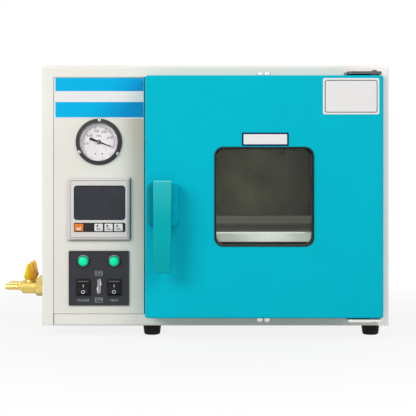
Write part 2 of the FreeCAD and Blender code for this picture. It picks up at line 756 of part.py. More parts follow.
def controller_bezel():
    """Stepped front frame: a thin outer square, a raised bevelled square, and recesses for screen and keys."""
    x, z = control_x, controller_at_z
    step, step_t = 2.2, 3.2
    outer = slab(x, z, controller_size, controller_size, 3.5, front_y - step_t, front_y)
    outer = outer.makeFillet(1.2, at_y(outer, front_y - step_t))
    raised_size = controller_size - 2 * step
    raised = slab(x, z, raised_size, raised_size, 3.0, front_y - bezel_t, front_y)
    raised = raised.makeChamfer(1.2, at_y(raised, front_y - bezel_t))
    sx, sz = screen_place()
    kx, kz = strip_place()
    recess_y = front_y - bezel_t + screen_in
    screen = slab(sx, sz, screen_w, screen_h, 5.0, front_y - bezel_t - 1, recess_y)
    strip = slab(kx, kz, screen_w, strip_h, 2.0, front_y - bezel_t - 1, recess_y)
    frame = outer.fuse(raised).cut([screen, strip])
    return frame.cut(key_openings(key_fit, front_y - bezel_t - 1, front_y + 1)).removeSplitter()


def controller_lens():
    """Dark screen pane and the dark strip that the keys come through."""
    sx, sz = screen_place()
    kx, kz = strip_place()
    y1 = front_y - bezel_t + screen_in
    pane = slab(sx, sz, screen_w - 0.3, screen_h - 0.3, 4.8, y1 - 1.4, y1)
    strip = slab(kx, kz, screen_w - 0.3, strip_h - 0.3, 1.8, y1 - 1.2, y1)
    strip = strip.cut(key_openings(key_fit, y1 - 2.0, y1 + 1.0))
    return Part.makeCompound([pane, strip])


def controller_key(number):
    x0, w = key_spans[number]
    sx, sz = strip_place()
    y0 = front_y - bezel_t - 0.6
    cap = slab(sx + x0 + w / 2, sz, w, key_h, 1.0, y0, front_y - key_stand)
    return cap.makeFillet(0.7, at_y(cap, y0))


def switch_plate():
    """Moulded plate with a raised rim that carries the lamps and rockers."""
    rim_w, rim_h, corner = 2.2, 0.5, 1.2
    plate = slab(control_x, plate_at_z, plate_w, plate_h, corner, plate_y, front_y)
    rim = ring_slab(control_x, plate_at_z, plate_w, plate_h, corner, rim_w, plate_y - rim_h, plate_y)
    rim = rim.makeFillet(0.3, at_y(rim, plate_y - rim_h))
    cuts = [rod(lamp_r + 0.1, 4 * plate_t, x, plate_y - plate_t, lamp_at_z, Y) for x in lamp_xs]
    cuts += [slab(x, rocker_at_z, rocker_w - 3.0, rocker_h - 3.0, 1.0, plate_y - plate_t, front_y + plate_t)
             for x in lamp_xs]
    return plate.fuse(rim).removeSplitter().cut(cuts)


def lamp_bezels():
    """Turned lamp holders with a rounded ring and a threaded body."""
    ring_r, ring_h, body_l = lamp_r + 1.6, 3.0, 26.0
    lamps = []
    for x in lamp_xs:
        lamps.append(turned([(0, -body_l), (lamp_r, -body_l), (lamp_r, 0), (ring_r, 0), (ring_r, ring_h - 1.4),
                             (ring_r - 1.0, ring_h), (lamp_r - 0.2, ring_h), (lamp_r - 0.2, 0.6), (0, 0.6)],
                            x, plate_y, lamp_at_z, -Y))
    return Part.makeCompound(lamps)


def lamp_lenses():
    """Coloured caps: a short drum with a domed face."""
    lenses = []
    seat = 0.6
    r = lamp_r - 0.3
    for x in lamp_xs:
        drum = rod(r, 3.4, x, plate_y - seat, lamp_at_z, -Y)
        cap = dome(r, 2.4, x, plate_y - seat - 3.4, lamp_at_z, -Y)
        lenses.append(drum.fuse(cap).removeSplitter())
    return Part.makeCompound(lenses)


def rocker_pivot_y():
    return plate_y - rocker_frame_t + rocker_pivot


def rocker_housings():
    """Snap-in rocker bodies with a rim and a well for the rocker."""
    bodies = []
    for x in lamp_xs:
        rim = slab(x, rocker_at_z, rocker_w, rocker_h, 1.6, plate_y - rocker_frame_t, plate_y)
        rim = rim.makeFillet(0.8, at_y(rim, plate_y - rocker_frame_t))
        box = slab(x, rocker_at_z, rocker_w - 3.2, rocker_h - 3.2, 1.0, plate_y, plate_y + 20.0)
        well = slab(x, rocker_at_z, rocker_w - 2 * rocker_band, rocker_h - 2 * rocker_band, 0.8,
                    plate_y - 4.0, plate_y + 9.0)
        body = rim.fuse(box).cut(well)
        half = rocker_w / 2 - rocker_band
        pins = rod(rocker_pin_r + running, 2 * half + 1.8, x - half - 0.9, rocker_pivot_y(), rocker_at_z, X)
        bodies.append(body.cut(pins).removeSplitter())
    return Part.makeCompound(bodies)


def rocker(x):
    """Paddle with a shallow V face, its upper half pressed in, on two pivot stubs."""
    half_w = rocker_w / 2 - rocker_band - 0.3
    half_h = rocker_h / 2 - rocker_band - 0.9
    proud = 2.6
    y = rocker_pivot_y()
    face = y - rocker_pivot - proud
    dip = 1.3
    shape = [V(x - half_w, face, half_h), V(x - half_w, face + dip, 0), V(x - half_w, face, -half_h),
             V(x - half_w, y + 2.0, -half_h), V(x - half_w, y + 6.0, -2.0), V(x - half_w, y + 6.0, 2.0),
             V(x - half_w, y + 2.0, half_h)]
    paddle = extruded(shape, X * (2 * half_w))
    paddle = paddle.makeFillet(0.6, [e for e in along(paddle, X) if abs(e.BoundBox.YMin - face) < 0.01])
    stubs = rod(rocker_pin_r, 2 * half_w + 1.8, x - half_w - 0.9, y, 0, X)
    paddle = paddle.fuse(stubs).removeSplitter()
    paddle.rotate(V(x, y, 0), X, -rocker_tilt)
    paddle.translate(V(0, 0, rocker_at_z))
    return paddle


def vacuum_line():
    """Pump pipe from the outer valve up past the gauge to the chamber, with the gauge's tee."""
    pump = pipe_points()[0]
    line = pipe(pump, 20.0, pipe_r, pipe_bore)
    pump_y = valve_ys[0]
    seat, sleeve_l = 8.0, 26.0
    branch_y = gauge_port_y() - seat
    branch = rod(pipe_r + 2.0, pump_y - branch_y, control_x, branch_y, gauge_at_z, Y)
    sleeve = rod(pipe_r + 2.5, sleeve_l, control_x - sleeve_l / 2, pump_y, gauge_at_z, X)
    line = line.fuse([branch, sleeve])
    line = line.cut(rod(pipe_r, seat + fit, control_x, branch_y, gauge_at_z, Y))
    line = line.cut(rod(pipe_bore, pump_y - branch_y, control_x, branch_y, gauge_at_z, Y))
    line = line.cut(rod(pipe_bore, sleeve_l, control_x - sleeve_l / 2, pump_y, gauge_at_z, X))
    return line.removeSplitter()


def gas_line():
    """Inlet pipe from the second valve to its own port."""
    return pipe(pipe_points()[1], 20.0, pipe_r, pipe_bore)


def valve_bodies():
    """Ball valve castings: nipple through the wall, hexagon, barrel with a round waist, and stem neck."""
    bodies = []
    barrel_l = valve_end - valve_barrel
    barrel_r = 11.0
    for y in valve_ys:
        z = valve_at_z
        nipple = rod(nipple_r, valve_hex + valve_in + 1.0, left + valve_in, y, z, -X)
        nut = hexagon(valve_nut, valve_barrel - valve_hex, left - valve_hex, y, z, -X)
        barrel = turned([(0, 0), (barrel_r - 0.6, 0), (barrel_r, 1.4), (barrel_r, barrel_l - 2.6),
                         (barrel_r - 1.6, barrel_l), (0, barrel_l)], left - valve_barrel, y, z, -X)
        neck = turned([(0, 0), (8.0, 0), (8.0, neck_top - 3), (6.5, neck_top), (0, neck_top)], stem_x, y, z, Z)
        body = nipple.fuse([nut, barrel, neck])
        flow = rod(pipe_bore, valve_end + 2 * valve_in, left + 2 * valve_in, y, z, -X)
        pipe_seat = rod(pipe_r + running, pipe_socket, left + valve_in, y, z, -X)
        cavity = Part.makeSphere(ball_r + ball_fit, V(stem_x, y, z))
        stem = rod(stem_r + running, neck_top + sheet, stem_x, y, z, Z)
        socket = rod(spigot, spigot_l + 1.0, left - valve_end + spigot_l, y, z, -X)
        bodies.append(body.cut([flow, pipe_seat, cavity, stem, socket]).removeSplitter())
    return Part.makeCompound(bodies)


def hose_barbs():
    """Hose tails with a collar and three ridges."""
    root_r, ridge_r, bore = 4.7, 5.6, 3.0
    collar_r, collar_t = 6.8, 3.0
    start = valve_end - spigot_l
    ridge, ridges = 6.2, 3
    collar = spigot_l + collar_t
    profile = [(bore, 0), (spigot, 0), (spigot, spigot_l), (collar_r, spigot_l), (collar_r, collar),
               (root_r, collar + 1.0)]
    first = barb_l - ridges * ridge - 1.6
    for k in range(ridges):
        d = first + k * ridge
        profile += [(root_r, d), (ridge_r, d), (root_r, d + ridge)]
    profile += [(root_r - 0.6, barb_l), (bore, barb_l)]
    return Part.makeCompound([turned(profile, left - start, y, valve_at_z, -X) for y in valve_ys])


def valve_locknuts():
    """Thin hexagon nuts on both sides of the cabinet wall."""
    nuts = []
    for y in valve_ys:
        for x in (left, left + sheet + lock_nut_t):
            nut = hexagon(lock_nut, lock_nut_t, x, y, valve_at_z, -X)
            nuts.append(nut.cut(rod(nipple_r, 3 * lock_nut_t, x + lock_nut_t, y, valve_at_z, -X)))
    return Part.makeCompound(nuts)


def valve_ball(y):
    """Ball with its bore across the flow, on a stem with a flat top."""
    z = valve_at_z
    ball = Part.makeSphere(ball_r, V(stem_x, y, z))
    nut_z = z + neck_top + 0.6 + 9.0
    stem = rod(stem_r, nut_z - z + 5.0, stem_x, y, z, Z)
    nut = hexagon(9.0, 3.2, stem_x, y, nut_z, Z)
    ball = ball.fuse([stem, nut])
    return ball.cut(rod(pipe_bore, 4 * ball_r, stem_x, y - 2 * ball_r, z, Y)).removeSplitter()


def butterfly(y):
    """Butterfly handle: a round belly and two wings that sweep up and thin towards their tips."""
    z0 = valve_at_z + neck_top + 0.6
    hub_h, wing_l, wing_top = 10.0, 16.5, 26.0
    belly = [(0, 0), (7.6, 0), (9.4, 3.4), (9.4, 6.6), (7.6, hub_h), (0, hub_h)]
    hub = turned(belly, stem_x, y, z0, Z)
    root, tip, reach = 8.0, 1.4, wing_top + 2.0
    parts = []
    for side in (-1, 1):
        p = [V(0, side * 4.0, z0 + 1.0), V(0, side * 12.0, z0 + 5.0), V(0, side * wing_l, z0 + 17.0),
             V(0, side * wing_l, z0 + 22.0), V(0, side * 14.0, z0 + wing_top), V(0, side * 9.0, z0 + 17.0),
             V(0, side * 4.0, z0 + hub_h)]
        low = Part.BSplineCurve()
        low.interpolate(p[:4])
        high = Part.BSplineCurve()
        high.interpolate(p[3:])
        edges = [low.toShape(), high.toShape(), Part.makeLine(p[-1], p[0])]
        wing = Part.Face(Part.Wire(edges)).extrude(X * (2 * root))
        wing.translate(V(stem_x - root, y, 0))
        taper = extruded([V(stem_x - root, y, z0), V(stem_x + root, y, z0), V(stem_x + tip, y, z0 + reach),
                          V(stem_x - tip, y, z0 + reach)], Y * (side * (wing_l + 1)))
        parts.append(wing.common(taper))
    handle = hub.fuse(parts).removeSplitter()
    well = rod(6.2, wing_top, stem_x, y, z0 + hub_h - 3.0, Z)
    return handle.cut([rod(stem_r, 2 * wing_top, stem_x, y, z0 - 1, Z), well])


def mains_gland():
    """Cord gland: lock nut inside, hexagon and domed clamping cap outside, with a through bore."""
    x, z = gland_place()
    inner = 10.0
    body = rod(gland_thread, gland_l - 8.0, x, back_y - inner, z, Y)
    nut = hexagon(22.0, 5.0, x, back_y - sheet - 5.0, z, Y)
    shoulder = hexagon(22.0, 6.0, x, back_y, z, Y)
    cap = turned([(0, 0), (10.4, 0), (10.4, 9.0), (8.6, 14.0), (6.0, gland_l - inner - 6.0),
                  (0, gland_l - inner - 6.0)], x, back_y + 6.0, z, Y)
    gland = body.fuse([nut, shoulder, cap])
    return gland.cut(rod(gland_bore, 2 * gland_l, x, back_y - gland_l, z, Y)).removeSplitter()


def fuse_holder():
    """Panel fuse holder with a ribbed screw cap."""
    x, z = fuse_place()
    flange_r, cap_r, cap_l, body_l = 8.6, 6.6, 9.0, 30.0
    body = rod(fuse_r, body_l, x, back_y - body_l, z, Y).fuse(rod(flange_r, 2.0, x, back_y, z, Y))
    cap = rod(cap_r, cap_l, x, back_y + 2.0, z, Y)
    cap = cap.makeChamfer(0.8, at_y(cap, back_y + 2.0 + cap_l))
    for k in range(12):
        a = math.radians(30 * k)
        cap = cap.cut(rod(0.6, cap_l, x + cap_r * math.cos(a), back_y + 3.0, z + cap_r * math.sin(a), Y))
    slot = block(x - 1, x + 1, back_y + cap_l, back_y + cap_l + 4, z - cap_r, z + cap_r)
    return body.fuse(cap.cut(slot)).removeSplitter()


def bolt_xs():
    return [door_x + bolt_shift - bolt_half_pitch, door_x + bolt_shift + bolt_half_pitch]


def bolt_y():
    return holder_front + bolt_in


def door_hollow():
    """Room inside the door's sheet."""
    w, h = door_w - 2 * sheet, door_h - 2 * sheet
    room = slab(door_x, middle_z, w, h, door_r - sheet, door_front + sheet, door_back - sheet)
    return room.makeFillet(door_bend - sheet, at_y(room, door_front + sheet))


def door_shell():
    """Drawn pan: bevelled front edge, rolled window opening, deep sides and an inward back flange."""
    lip, rolled, mouth_r = 12.0, 8.0, 6.0
    outer = slab(door_x, middle_z, door_w, door_h, door_r, door_front, door_back)
    outer = outer.makeFillet(door_bend, at_y(outer, door_front))
    w, h = door_w - 2 * lip, door_h - 2 * lip
    mouth = slab(door_x, middle_z, w, h, mouth_r, door_back - 3 * sheet, door_back + sheet)
    shell = outer.cut([door_hollow(), mouth])
    collar = slab(door_x, middle_z, window + 2 * sheet, window + 2 * sheet, window_r + sheet,
                  door_front, door_front + rolled)
    opening = slab(door_x, middle_z, window, window, window_r, door_front - sheet, door_front + 2 * rolled)
    shell = shell.fuse(collar).cut(opening)
    edge = [e for e in at_y(shell, door_front) if e.BoundBox.XLength < window + 1]
    shell = shell.makeFillet(1.2, [e for e in edge if abs(e.BoundBox.XMin - door_x) <= window / 2 + 1])
    holes = [rod(bushing_r, door_h + 8, pin_x, pin_y, door_low - 4, Z),
             rod(sleeve_r, 4 * sheet, latch_x, door_front - sheet, latch_z, Y)]
    holes += [rod(bolt_r, door_h + 8, x, bolt_y(), door_low - 4, Z) for x in bolt_xs()]
    return shell.cut(holes).removeSplitter()


def door_plate():
    """Back cover of the door round the glass holder."""
    gap = 0.4
    y1 = door_back - sheet
    plate = slab(door_x, middle_z, door_w - 2 * sheet - gap, door_h - 2 * sheet - gap, 2.0, y1 - sheet, y1)
    hole = slab(door_x, middle_z, holder + gap, holder + gap, holder_r, y1 - 2 * sheet, y1 + sheet)
    return plate.cut([hole, rod(sleeve_r + 3.0, 4 * sheet, latch_x, y1 - 2 * sheet, latch_z, Y)])


def glass_holder():
    """Frame that carries the thick glass, with a clamping step and lugs that the door's bolts hold."""
    y_step = door_back - 2 * sheet
    step = 7.0
    frame = slab(door_x, middle_z, holder, holder, holder_r, holder_front, glass_back)
    wide = holder + 2 * step
    frame = frame.fuse(slab(door_x, middle_z, wide, wide, holder_r + 4, y_step - 2.0, y_step))
    lug_w, lug_t = 30.0, 12.0
    lug_x = door_x + bolt_shift
    lugs = block(lug_x - lug_w / 2, lug_x + lug_w / 2, bolt_y() - lug_t / 2, bolt_y() + lug_t / 2,
                 door_low + sheet, door_top - sheet)
    frame = frame.fuse(lugs)
    pocket_size = glass_size + 2 * fit
    pocket = slab(door_x, middle_z, pocket_size, pocket_size, glass_r + fit, glass_front, door_back + 1)
    light = slab(door_x, middle_z, chamber, chamber, chamber_r, holder_front - 8, door_back + 1)
    frame = frame.cut([pocket, light])
    return frame.cut([rod(bolt_r, door_h, x, bolt_y(), door_low, Z) for x in bolt_xs()]).removeSplitter()


def inner_glass():
    """Thick toughened pane that the chamber's gasket seals on."""
    pane = slab(door_x, middle_z, glass_size, glass_size, glass_r, glass_front, glass_back)
    return pane.makeChamfer(1.0, at_y(pane, glass_back))


def window_trim():
    """Rubber channel in the window's rolled edge."""
    proud, band = 0.9, 2.2
    ring = ring_slab(door_x, middle_z, window - 0.2, window - 0.2, window_r, band,
                     door_front - proud, door_front + trim_d)
    return ring.makeFillet(0.7, at_y(ring, door_front - proud))


def outer_glass():
    y0 = door_front + trim_d
    return slab(door_x, middle_z, outer_glass_size, outer_glass_size, 6.0, y0, y0 + outer_glass_t)


def square_wire(size, r, y):
    plate = slab(door_x, middle_z, size, size, r, y, y + 1)
    face = [f for f in plate.Faces if abs(f.BoundBox.YMax - y) < 0.01]
    return face[0].OuterWire


def window_tunnel():
    """Sheet funnel between the panes, lofted from the window's size to the inner glass's."""
    y0 = door_front + trim_d + outer_glass_t
    y1 = holder_front
    t = 1.0
    near, far, foot = window - 6.0, chamber - 16.0, 8.0
    skins = []
    for extra in (2 * t, 0):
        wires = [square_wire(near + extra, window_r, y0), square_wire(far + extra, chamber_r, y1)]
        skins.append(Part.makeLoft(wires, True, True))
    foot_size = far + 2 * foot
    flanges = [slab(door_x, middle_z, outer_glass_size, outer_glass_size, 6.0, y0, y0 + t),
               slab(door_x, middle_z, foot_size, foot_size, chamber_r + foot, y1 - t, y1)]
    return skins[0].fuse(flanges).cut(skins[1]).removeSplitter()


def door_insulation():
    """Wool in the door round the window tunnel, clear of the latch, lugs and hinge blocks."""
    y0, y1 = door_front + sheet, holder_front
    x0, x1 = door_left + latch_in + 14.0, door_right - 30.0
    end = 22.0
    wool = block(x0, x1, y0, y1, door_low + end, door_top - end)
    size = chamber + 4.0
    hole = slab(door_x, middle_z, size, size, chamber_r + 2.0, y0 - 1, y1 + 1)
    lug_w = 34.0
    lug_x = door_x + bolt_shift
    lugs = block(lug_x - lug_w / 2, lug_x + lug_w / 2, holder_front - 0.5, y1 + 1, door_low, door_top)
    return wool.cut([hole, lugs])


def door_bolts():
    """Domed bolts in the door's top and bottom edge that hold the glass holder."""
    head_r, head_h = 5.0, 4.6
    shank = 24.0
    bolts = []
    for z, way in ((door_top, Z), (door_low, -Z)):
        for x in bolt_xs():
            head = rod(head_r, 1.2, x, bolt_y(), z, way)
            cap = dome(head_r, head_h - 1.2, x, bolt_y(), z + way.z * 1.2, way)
            pin = rod(bolt_r, shank, x, bolt_y(), z - way.z * shank, way)
            bolts.append(head.fuse([cap, pin]).removeSplitter())
    return Part.makeCompound(bolts)


def door_bushings():
    """Brass bushings with a collar that the hinge pins turn in."""
    length, collar_r = 18.0, 7.5
    collar_t = hinge_gap - 0.4
    bushings = []
    for z, way in ((door_top, Z), (door_low, -Z)):
        body = rod(bushing_r, length, pin_x, pin_y, z - way.z * length, way)
        body = body.fuse(rod(collar_r, collar_t, pin_x, pin_y, z, way))
        bushings.append(body.cut(rod(pin_r + running, 2 * length, pin_x, pin_y, z - way.z * length, way)))
    return Part.makeCompound([b.removeSplitter() for b in bushings])


def hinge_blocks():
    """Steel blocks welded in the door's corners behind the bushings."""
    depth = 20.0
    x0, x1 = pin_x - 14.0, door_right - sheet
    y0, y1 = door_front + sheet, pin_y + 13.0
    blocks = []
    for z0, z1 in ((door_top - sheet - depth, door_top - sheet), (door_low + sheet, door_low + sheet + depth)):
        body = block(x0, x1, y0, y1, z0, z1).common(door_hollow())
        blocks.append(body.cut(rod(bushing_r, 4 * depth, pin_x, pin_y, z0 - depth, Z)))
    return Part.makeCompound(blocks)


def latch_block():
    """Cast block on the door that carries the spindle, tapered towards the lever."""
    t = block_t
    wires = []
    for y, shrink in ((door_front, 0.0), (door_front - t * 0.55, 1.0), (door_front - t, 5.0)):
        plate = slab(latch_x, latch_z, block_w - shrink, block_h - shrink, 9.0, y - 1, y)
        face = [f for f in plate.Faces if abs(f.BoundBox.YMin - y) < 0.01]
        wires.append(face[0].OuterWire)
    body = Part.makeLoft(wires, True, True)
    sleeve = tube(sleeve_r, spindle_r + running, door_t - 6.0, latch_x, door_front, latch_z, Y)
    return body.fuse(sleeve).cut(rod(spindle_r + running, 3 * door_t, latch_x, door_front - door_t, latch_z, Y))


def latch_lever():
    """Flat lever, bowed along its length and slightly narrower at the grip end, on a round boss."""
    rise, taper = 36.0, 1.2
    x, y = latch_x, lever_back
    z1 = latch_z + rise
    z0 = z1 - lever_l
    zm = (z0 + z1) / 2
    face = y - lever_t
    front = Part.Arc(V(x, face + lever_bow, z1), V(x, face, zm), V(x, face + lever_bow, z0)).toShape()
    rear = Part.Arc(V(x, y, z0), V(x, y - lever_bow / 2, zm), V(x, y, z1)).toShape()
    low_end = Part.makeLine(V(x, face + lever_bow, z0), V(x, y, z0))
    high_end = Part.makeLine(V(x, y, z1), V(x, face + lever_bow, z1))
    bar = Part.Face(Part.Wire([front, low_end, rear, high_end])).extrude(X * lever_w)
    bar.translate(X * (-lever_w / 2))
    top_half, low_half = lever_w / 2, lever_w / 2 - taper
    plan = extruded([V(x - top_half, y + 1, z1), V(x + top_half, y + 1, z1), V(x + low_half, y + 1, z0),
                     V(x - low_half, y + 1, z0)], Y * (-2 * lever_t))
    upright = [e for e in plan.Edges if e.BoundBox.YLength > lever_t]
    bar = bar.common(plan.makeFillet(3.0, upright))
    rounded = [e for e in bar.Edges if e.BoundBox.YMax < face + lever_bow + 0.01]
    bar = bar.makeFillet(1.6, rounded)
    hub_t = lever_stand - block_t - 0.2
    hub = rod(11.0, hub_t + lever_bow, x, y - lever_bow, latch_z, Y)
    return bar.fuse(hub).cut(rod(stud_r, stud_in + hub_t, x, y - stud_in, latch_z, Y)).removeSplitter()


def latch_spindle():
    """Spindle through the door with a cross cam that stands upright in the keeper's slot."""
    x, z = latch_x, latch_z
    neck_y = door_front - block_t + 2.0
    cam_y = keeper_back + cam_gap
    cam_half, cam_w = 13.0, 8.0
    shaft = rod(spindle_r, cam_y + cam_t - neck_y, x, neck_y, z, Y)
    reach = stud_in - 0.2
    stud = rod(stud_r, neck_y - lever_back + reach, x, lever_back - reach, z, Y)
    cam = block(x - cam_w / 2, x + cam_w / 2, cam_y, cam_y + cam_t, z - cam_half, z + cam_half)
    cam = cam.makeFillet(2.0, along(cam, Y))
    return shaft.fuse([stud, cam]).removeSplitter()


def sub_parts():
    power_x, heater_x = lamp_xs
    pump_y, inlet_y = valve_ys
    return {
        "cabinet_wrap": cabinet_wrap(),
        "base_pan": base_pan(),
        "rear_panel": rear_panel(),
        "front_frame": front_frame(),
        "control_panel": control_panel(),
        "partition": partition(),
        "chamber": chamber_box(),
        "chamber_gasket": chamber_gasket(),
        "heater_pads": heater_pads(),
        "insulation": insulation(),
        "temperature_probe": temperature_probe(),
        "shelf_rails": shelf_rails(),
        "shelf": shelf(),
        "hinge_plates": hinge_plates(),
        "hinge_pins": hinge_pins(),
        "keeper_plate": keeper_plate(),
        "feet": feet(),
        "gauge_case": gauge_case(),
        "gauge_dial": gauge_dial(),
        "gauge_glass": gauge_glass(),
        "gauge_needle": gauge_needle(),
        "controller_case": controller_case(),
        "controller_bezel": controller_bezel(),
        "controller_lens": controller_lens(),
        "set_key": controller_key(0),
        "shift_key": controller_key(1),
        "down_key": controller_key(2),
        "up_key": controller_key(3),
        "switch_plate": switch_plate(),
        "lamp_bezels": lamp_bezels(),
        "lamp_lenses": lamp_lenses(),
        "rocker_housings": rocker_housings(),
        "power_rocker": rocker(power_x),
        "heater_rocker": rocker(heater_x),
        "vacuum_line": vacuum_line(),
        "gas_line": gas_line(),
        "valve_bodies": valve_bodies(),
        "hose_barbs": hose_barbs(),
        "valve_locknuts": valve_locknuts(),
        "pump_valve_ball": valve_ball(pump_y),
        "pump_valve_handle": butterfly(pump_y),
        "inlet_valve_ball": valve_ball(inlet_y),
        "inlet_valve_handle": butterfly(inlet_y),
        "mains_gland": mains_gland(),
        "fuse_holder": fuse_holder(),
        "door_shell": door_shell(),
        "door_plate": door_plate(),
        "glass_holder": glass_holder(),
        "inner_glass": inner_glass(),
        "outer_glass": outer_glass(),
        "window_trim": window_trim(),
        "window_tunnel": window_tunnel(),
        "door_insulation": door_insulation(),
        "door_bolts": door_bolts(),
        "door_bushings": door_bushings(),
        "hinge_blocks": hinge_blocks(),
        "latch_block": latch_block(),
        "latch_lever": latch_lever(),
        "latch_spindle": latch_spindle(),
    }


def main():
    os.makedirs("parts", exist_ok=True)
    for node, shape in sub_parts().items():
        shape.exportStep(f"parts/{node}.step")


main()
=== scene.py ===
import bpy
import bmesh
import json
import math
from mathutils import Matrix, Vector


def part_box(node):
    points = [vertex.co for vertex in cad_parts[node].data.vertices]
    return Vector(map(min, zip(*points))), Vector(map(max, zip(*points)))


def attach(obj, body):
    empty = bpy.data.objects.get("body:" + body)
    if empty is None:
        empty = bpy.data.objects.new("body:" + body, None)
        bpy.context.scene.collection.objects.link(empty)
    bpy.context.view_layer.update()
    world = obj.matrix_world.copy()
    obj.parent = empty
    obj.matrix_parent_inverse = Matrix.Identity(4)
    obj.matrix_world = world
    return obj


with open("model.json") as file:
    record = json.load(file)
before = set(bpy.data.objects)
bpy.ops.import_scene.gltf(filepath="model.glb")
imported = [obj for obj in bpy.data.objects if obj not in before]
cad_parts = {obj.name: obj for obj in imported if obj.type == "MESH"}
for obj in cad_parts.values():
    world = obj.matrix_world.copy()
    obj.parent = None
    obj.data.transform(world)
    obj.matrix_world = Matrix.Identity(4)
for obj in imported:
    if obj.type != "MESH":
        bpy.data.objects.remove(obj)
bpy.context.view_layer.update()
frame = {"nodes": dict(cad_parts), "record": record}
nodeObjects = frame["nodes"]
bpy.ops.object.select_all(action="DESELECT")
bpy.context.scene.view_settings.view_transform = "Standard"
print("frame loaded:", len(nodeObjects), "nodes")

mm = 0.001


# Camera, floor and light

def addCamera():
    look = {
        "lens": 105.2,          # mm, on the sensor below
        "sensor": 36,
        "across": 29.2,         # mm right of the middle of the outline
        "back": 1833.0,         # mm in front of the cabinet's front
        "height": 288.5,
        "shift": -0.151,        # the photograph looks level, from above the middle
        "clip": (0.05, 50),
    }
    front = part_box("control_panel")[0].y
    place = (look["across"] * mm, front - look["back"] * mm, look["height"] * mm)
    bpy.ops.object.camera_add(location=place, rotation=(math.pi / 2, 0, 0))
    camera = bpy.context.object
    camera.data.lens = look["lens"]
    camera.data.sensor_width = look["sensor"]
    camera.data.shift_y = look["shift"]
    camera.data.clip_start, camera.data.clip_end = look["clip"]
    bpy.context.scene.camera = camera


def addFloor():
    look = {
        "size": 14, "grey": 0.62, "rough": 0.9, "specular": 0.1,
        "share": 0.86,              # how much of the white backdrop shows near the feet
        "near": 0.3, "far": 0.75,   # metres from the middle, between which it becomes all of it
    }
    bpy.ops.mesh.primitive_plane_add(size=look["size"])
    floor = bpy.context.object
    floor.name = "floor"
    material, nodes, links, shader = newMaterial("floorWhite")
    shader.inputs["Base Color"].default_value = (look["grey"],) * 3 + (1,)
    shader.inputs["Roughness"].default_value = look["rough"]
    shader.inputs["Specular IOR Level"].default_value = look["specular"]
    glow = nodes.new("ShaderNodeEmission")
    glow.inputs["Color"].default_value = (1, 1, 1, 1)
    away = addPlace(nodes, links, "LENGTH")
    blend = addRange(nodes, links, away.outputs["Value"], look["share"], 1.0)
    blend.interpolation_type = "SMOOTHSTEP"
    blend.inputs["From Min"].default_value = look["near"]
    blend.inputs["From Max"].default_value = look["far"]
    share = addMath(nodes, links, "MULTIPLY", seenRays(nodes, links), blend.outputs[0])
    mixShaders(nodes, links, share.outputs[0], shader, glow)
    floor.data.materials.append(material)


def seenRays(nodes, links):
    # camera, glossy and transmission rays all see the white background
    rays = nodes.new("ShaderNodeLightPath").outputs
    direct = addMath(nodes, links, "MAXIMUM", rays["Is Camera Ray"], rays["Is Glossy Ray"])
    return addMath(nodes, links, "MAXIMUM", direct.outputs[0], rays["Is Transmission Ray"]).outputs[0]


def addWorld():
    look = {"ambient": 0.6, "backdrop": 1.0}
    world = bpy.data.worlds.new("studio")
    bpy.context.scene.world = world
    world.use_nodes = True
    nodes, links = world.node_tree.nodes, world.node_tree.links
    sky = nodes["Background"]
    sky.inputs["Color"].default_value = (1, 1, 1, 1)
    level = addRange(nodes, links, seenRays(nodes, links), look["ambient"], look["backdrop"])
    links.new(level.outputs[0], sky.inputs["Strength"])


def addLamps():
    lamps = {
        "keyLamp": {"place": (-1.7, -1.9, 1.35), "size": 1.1, "power": 33},
        "fillLamp": {"place": (1.6, -2.3, 1.9), "size": 1.4, "power": 26},
    }
    aim = Vector((0.05, -0.1, 0.2))         # both point at the door
    for name, look in lamps.items():
        place = Vector(look["place"])
        bpy.ops.object.light_add(type="AREA", location=place)
        lamp = bpy.context.object
        lamp.name = name
        lamp.data.shape = "RECTANGLE"
        lamp.data.size = lamp.data.size_y = look["size"]
        lamp.data.energy = look["power"]
        lamp.rotation_euler = (aim - place).to_track_quat("-Z", "Y").to_euler()


def addStudio():
    addCamera()
    addFloor()
    addWorld()
    addLamps()
    print("studio ready")


# Small helpers for shader nodes

def newMaterial(name):
    material = bpy.data.materials.new(name)
    material.use_nodes = True
    nodes, links = material.node_tree.nodes, material.node_tree.links
    return material, nodes, links, nodes["Principled BSDF"]


def addMath(nodes, links, kind, first, second):
    # first and second are numbers or what other nodes put out
    node = nodes.new("ShaderNodeMath")
    node.operation = kind
    for socket, value in zip(node.inputs, (first, second)):
        if isinstance(value, (int, float)):
            socket.default_value = value
        else:
            links.new(value, socket)
    return node


def addRange(nodes, links, value, low=0.0, high=1.0):
    # stretches 0 to 1 into low to high
    spread = nodes.new("ShaderNodeMapRange")
    spread.inputs["To Min"].default_value = low
    spread.inputs["To Max"].default_value = high
    links.new(value, spread.inputs["Value"])
    return spread


def addPlace(nodes, links, kind, other=None):
    # object coordinates, measured or changed by one vector operation
    place = nodes.new("ShaderNodeTexCoord")
    change = nodes.new("ShaderNodeVectorMath")
    change.operation = kind
    links.new(place.outputs["Object"], change.inputs[0])
    if other:
        links.new(other, change.inputs[1])
    return change


def mixShaders(nodes, links, share, first, second):
    mix = nodes.new("ShaderNodeMixShader")
    links.new(share, mix.inputs["Fac"])
    links.new(first.outputs[0], mix.inputs[1])
    links.new(second.outputs[0], mix.inputs[2])
    links.new(mix.outputs[0], nodes["Material Output"].inputs["Surface"])


def mixColours(nodes, links, share, first, second, amount):
    # first colour where the mask is 0, towards the second by amount where it is 1
    scale = addMath(nodes, links, "MULTIPLY", share, amount)
    mix = nodes.new("ShaderNodeMix")
    mix.data_type = "RGBA"
    links.new(scale.outputs[0], mix.inputs["Factor"])
    if isinstance(first, tuple):
        mix.inputs["A"].default_value = first
    else:
        links.new(first, mix.inputs["A"])
    mix.inputs["B"].default_value = second
    return mix.outputs["Result"]


# Shader effects that several materials share

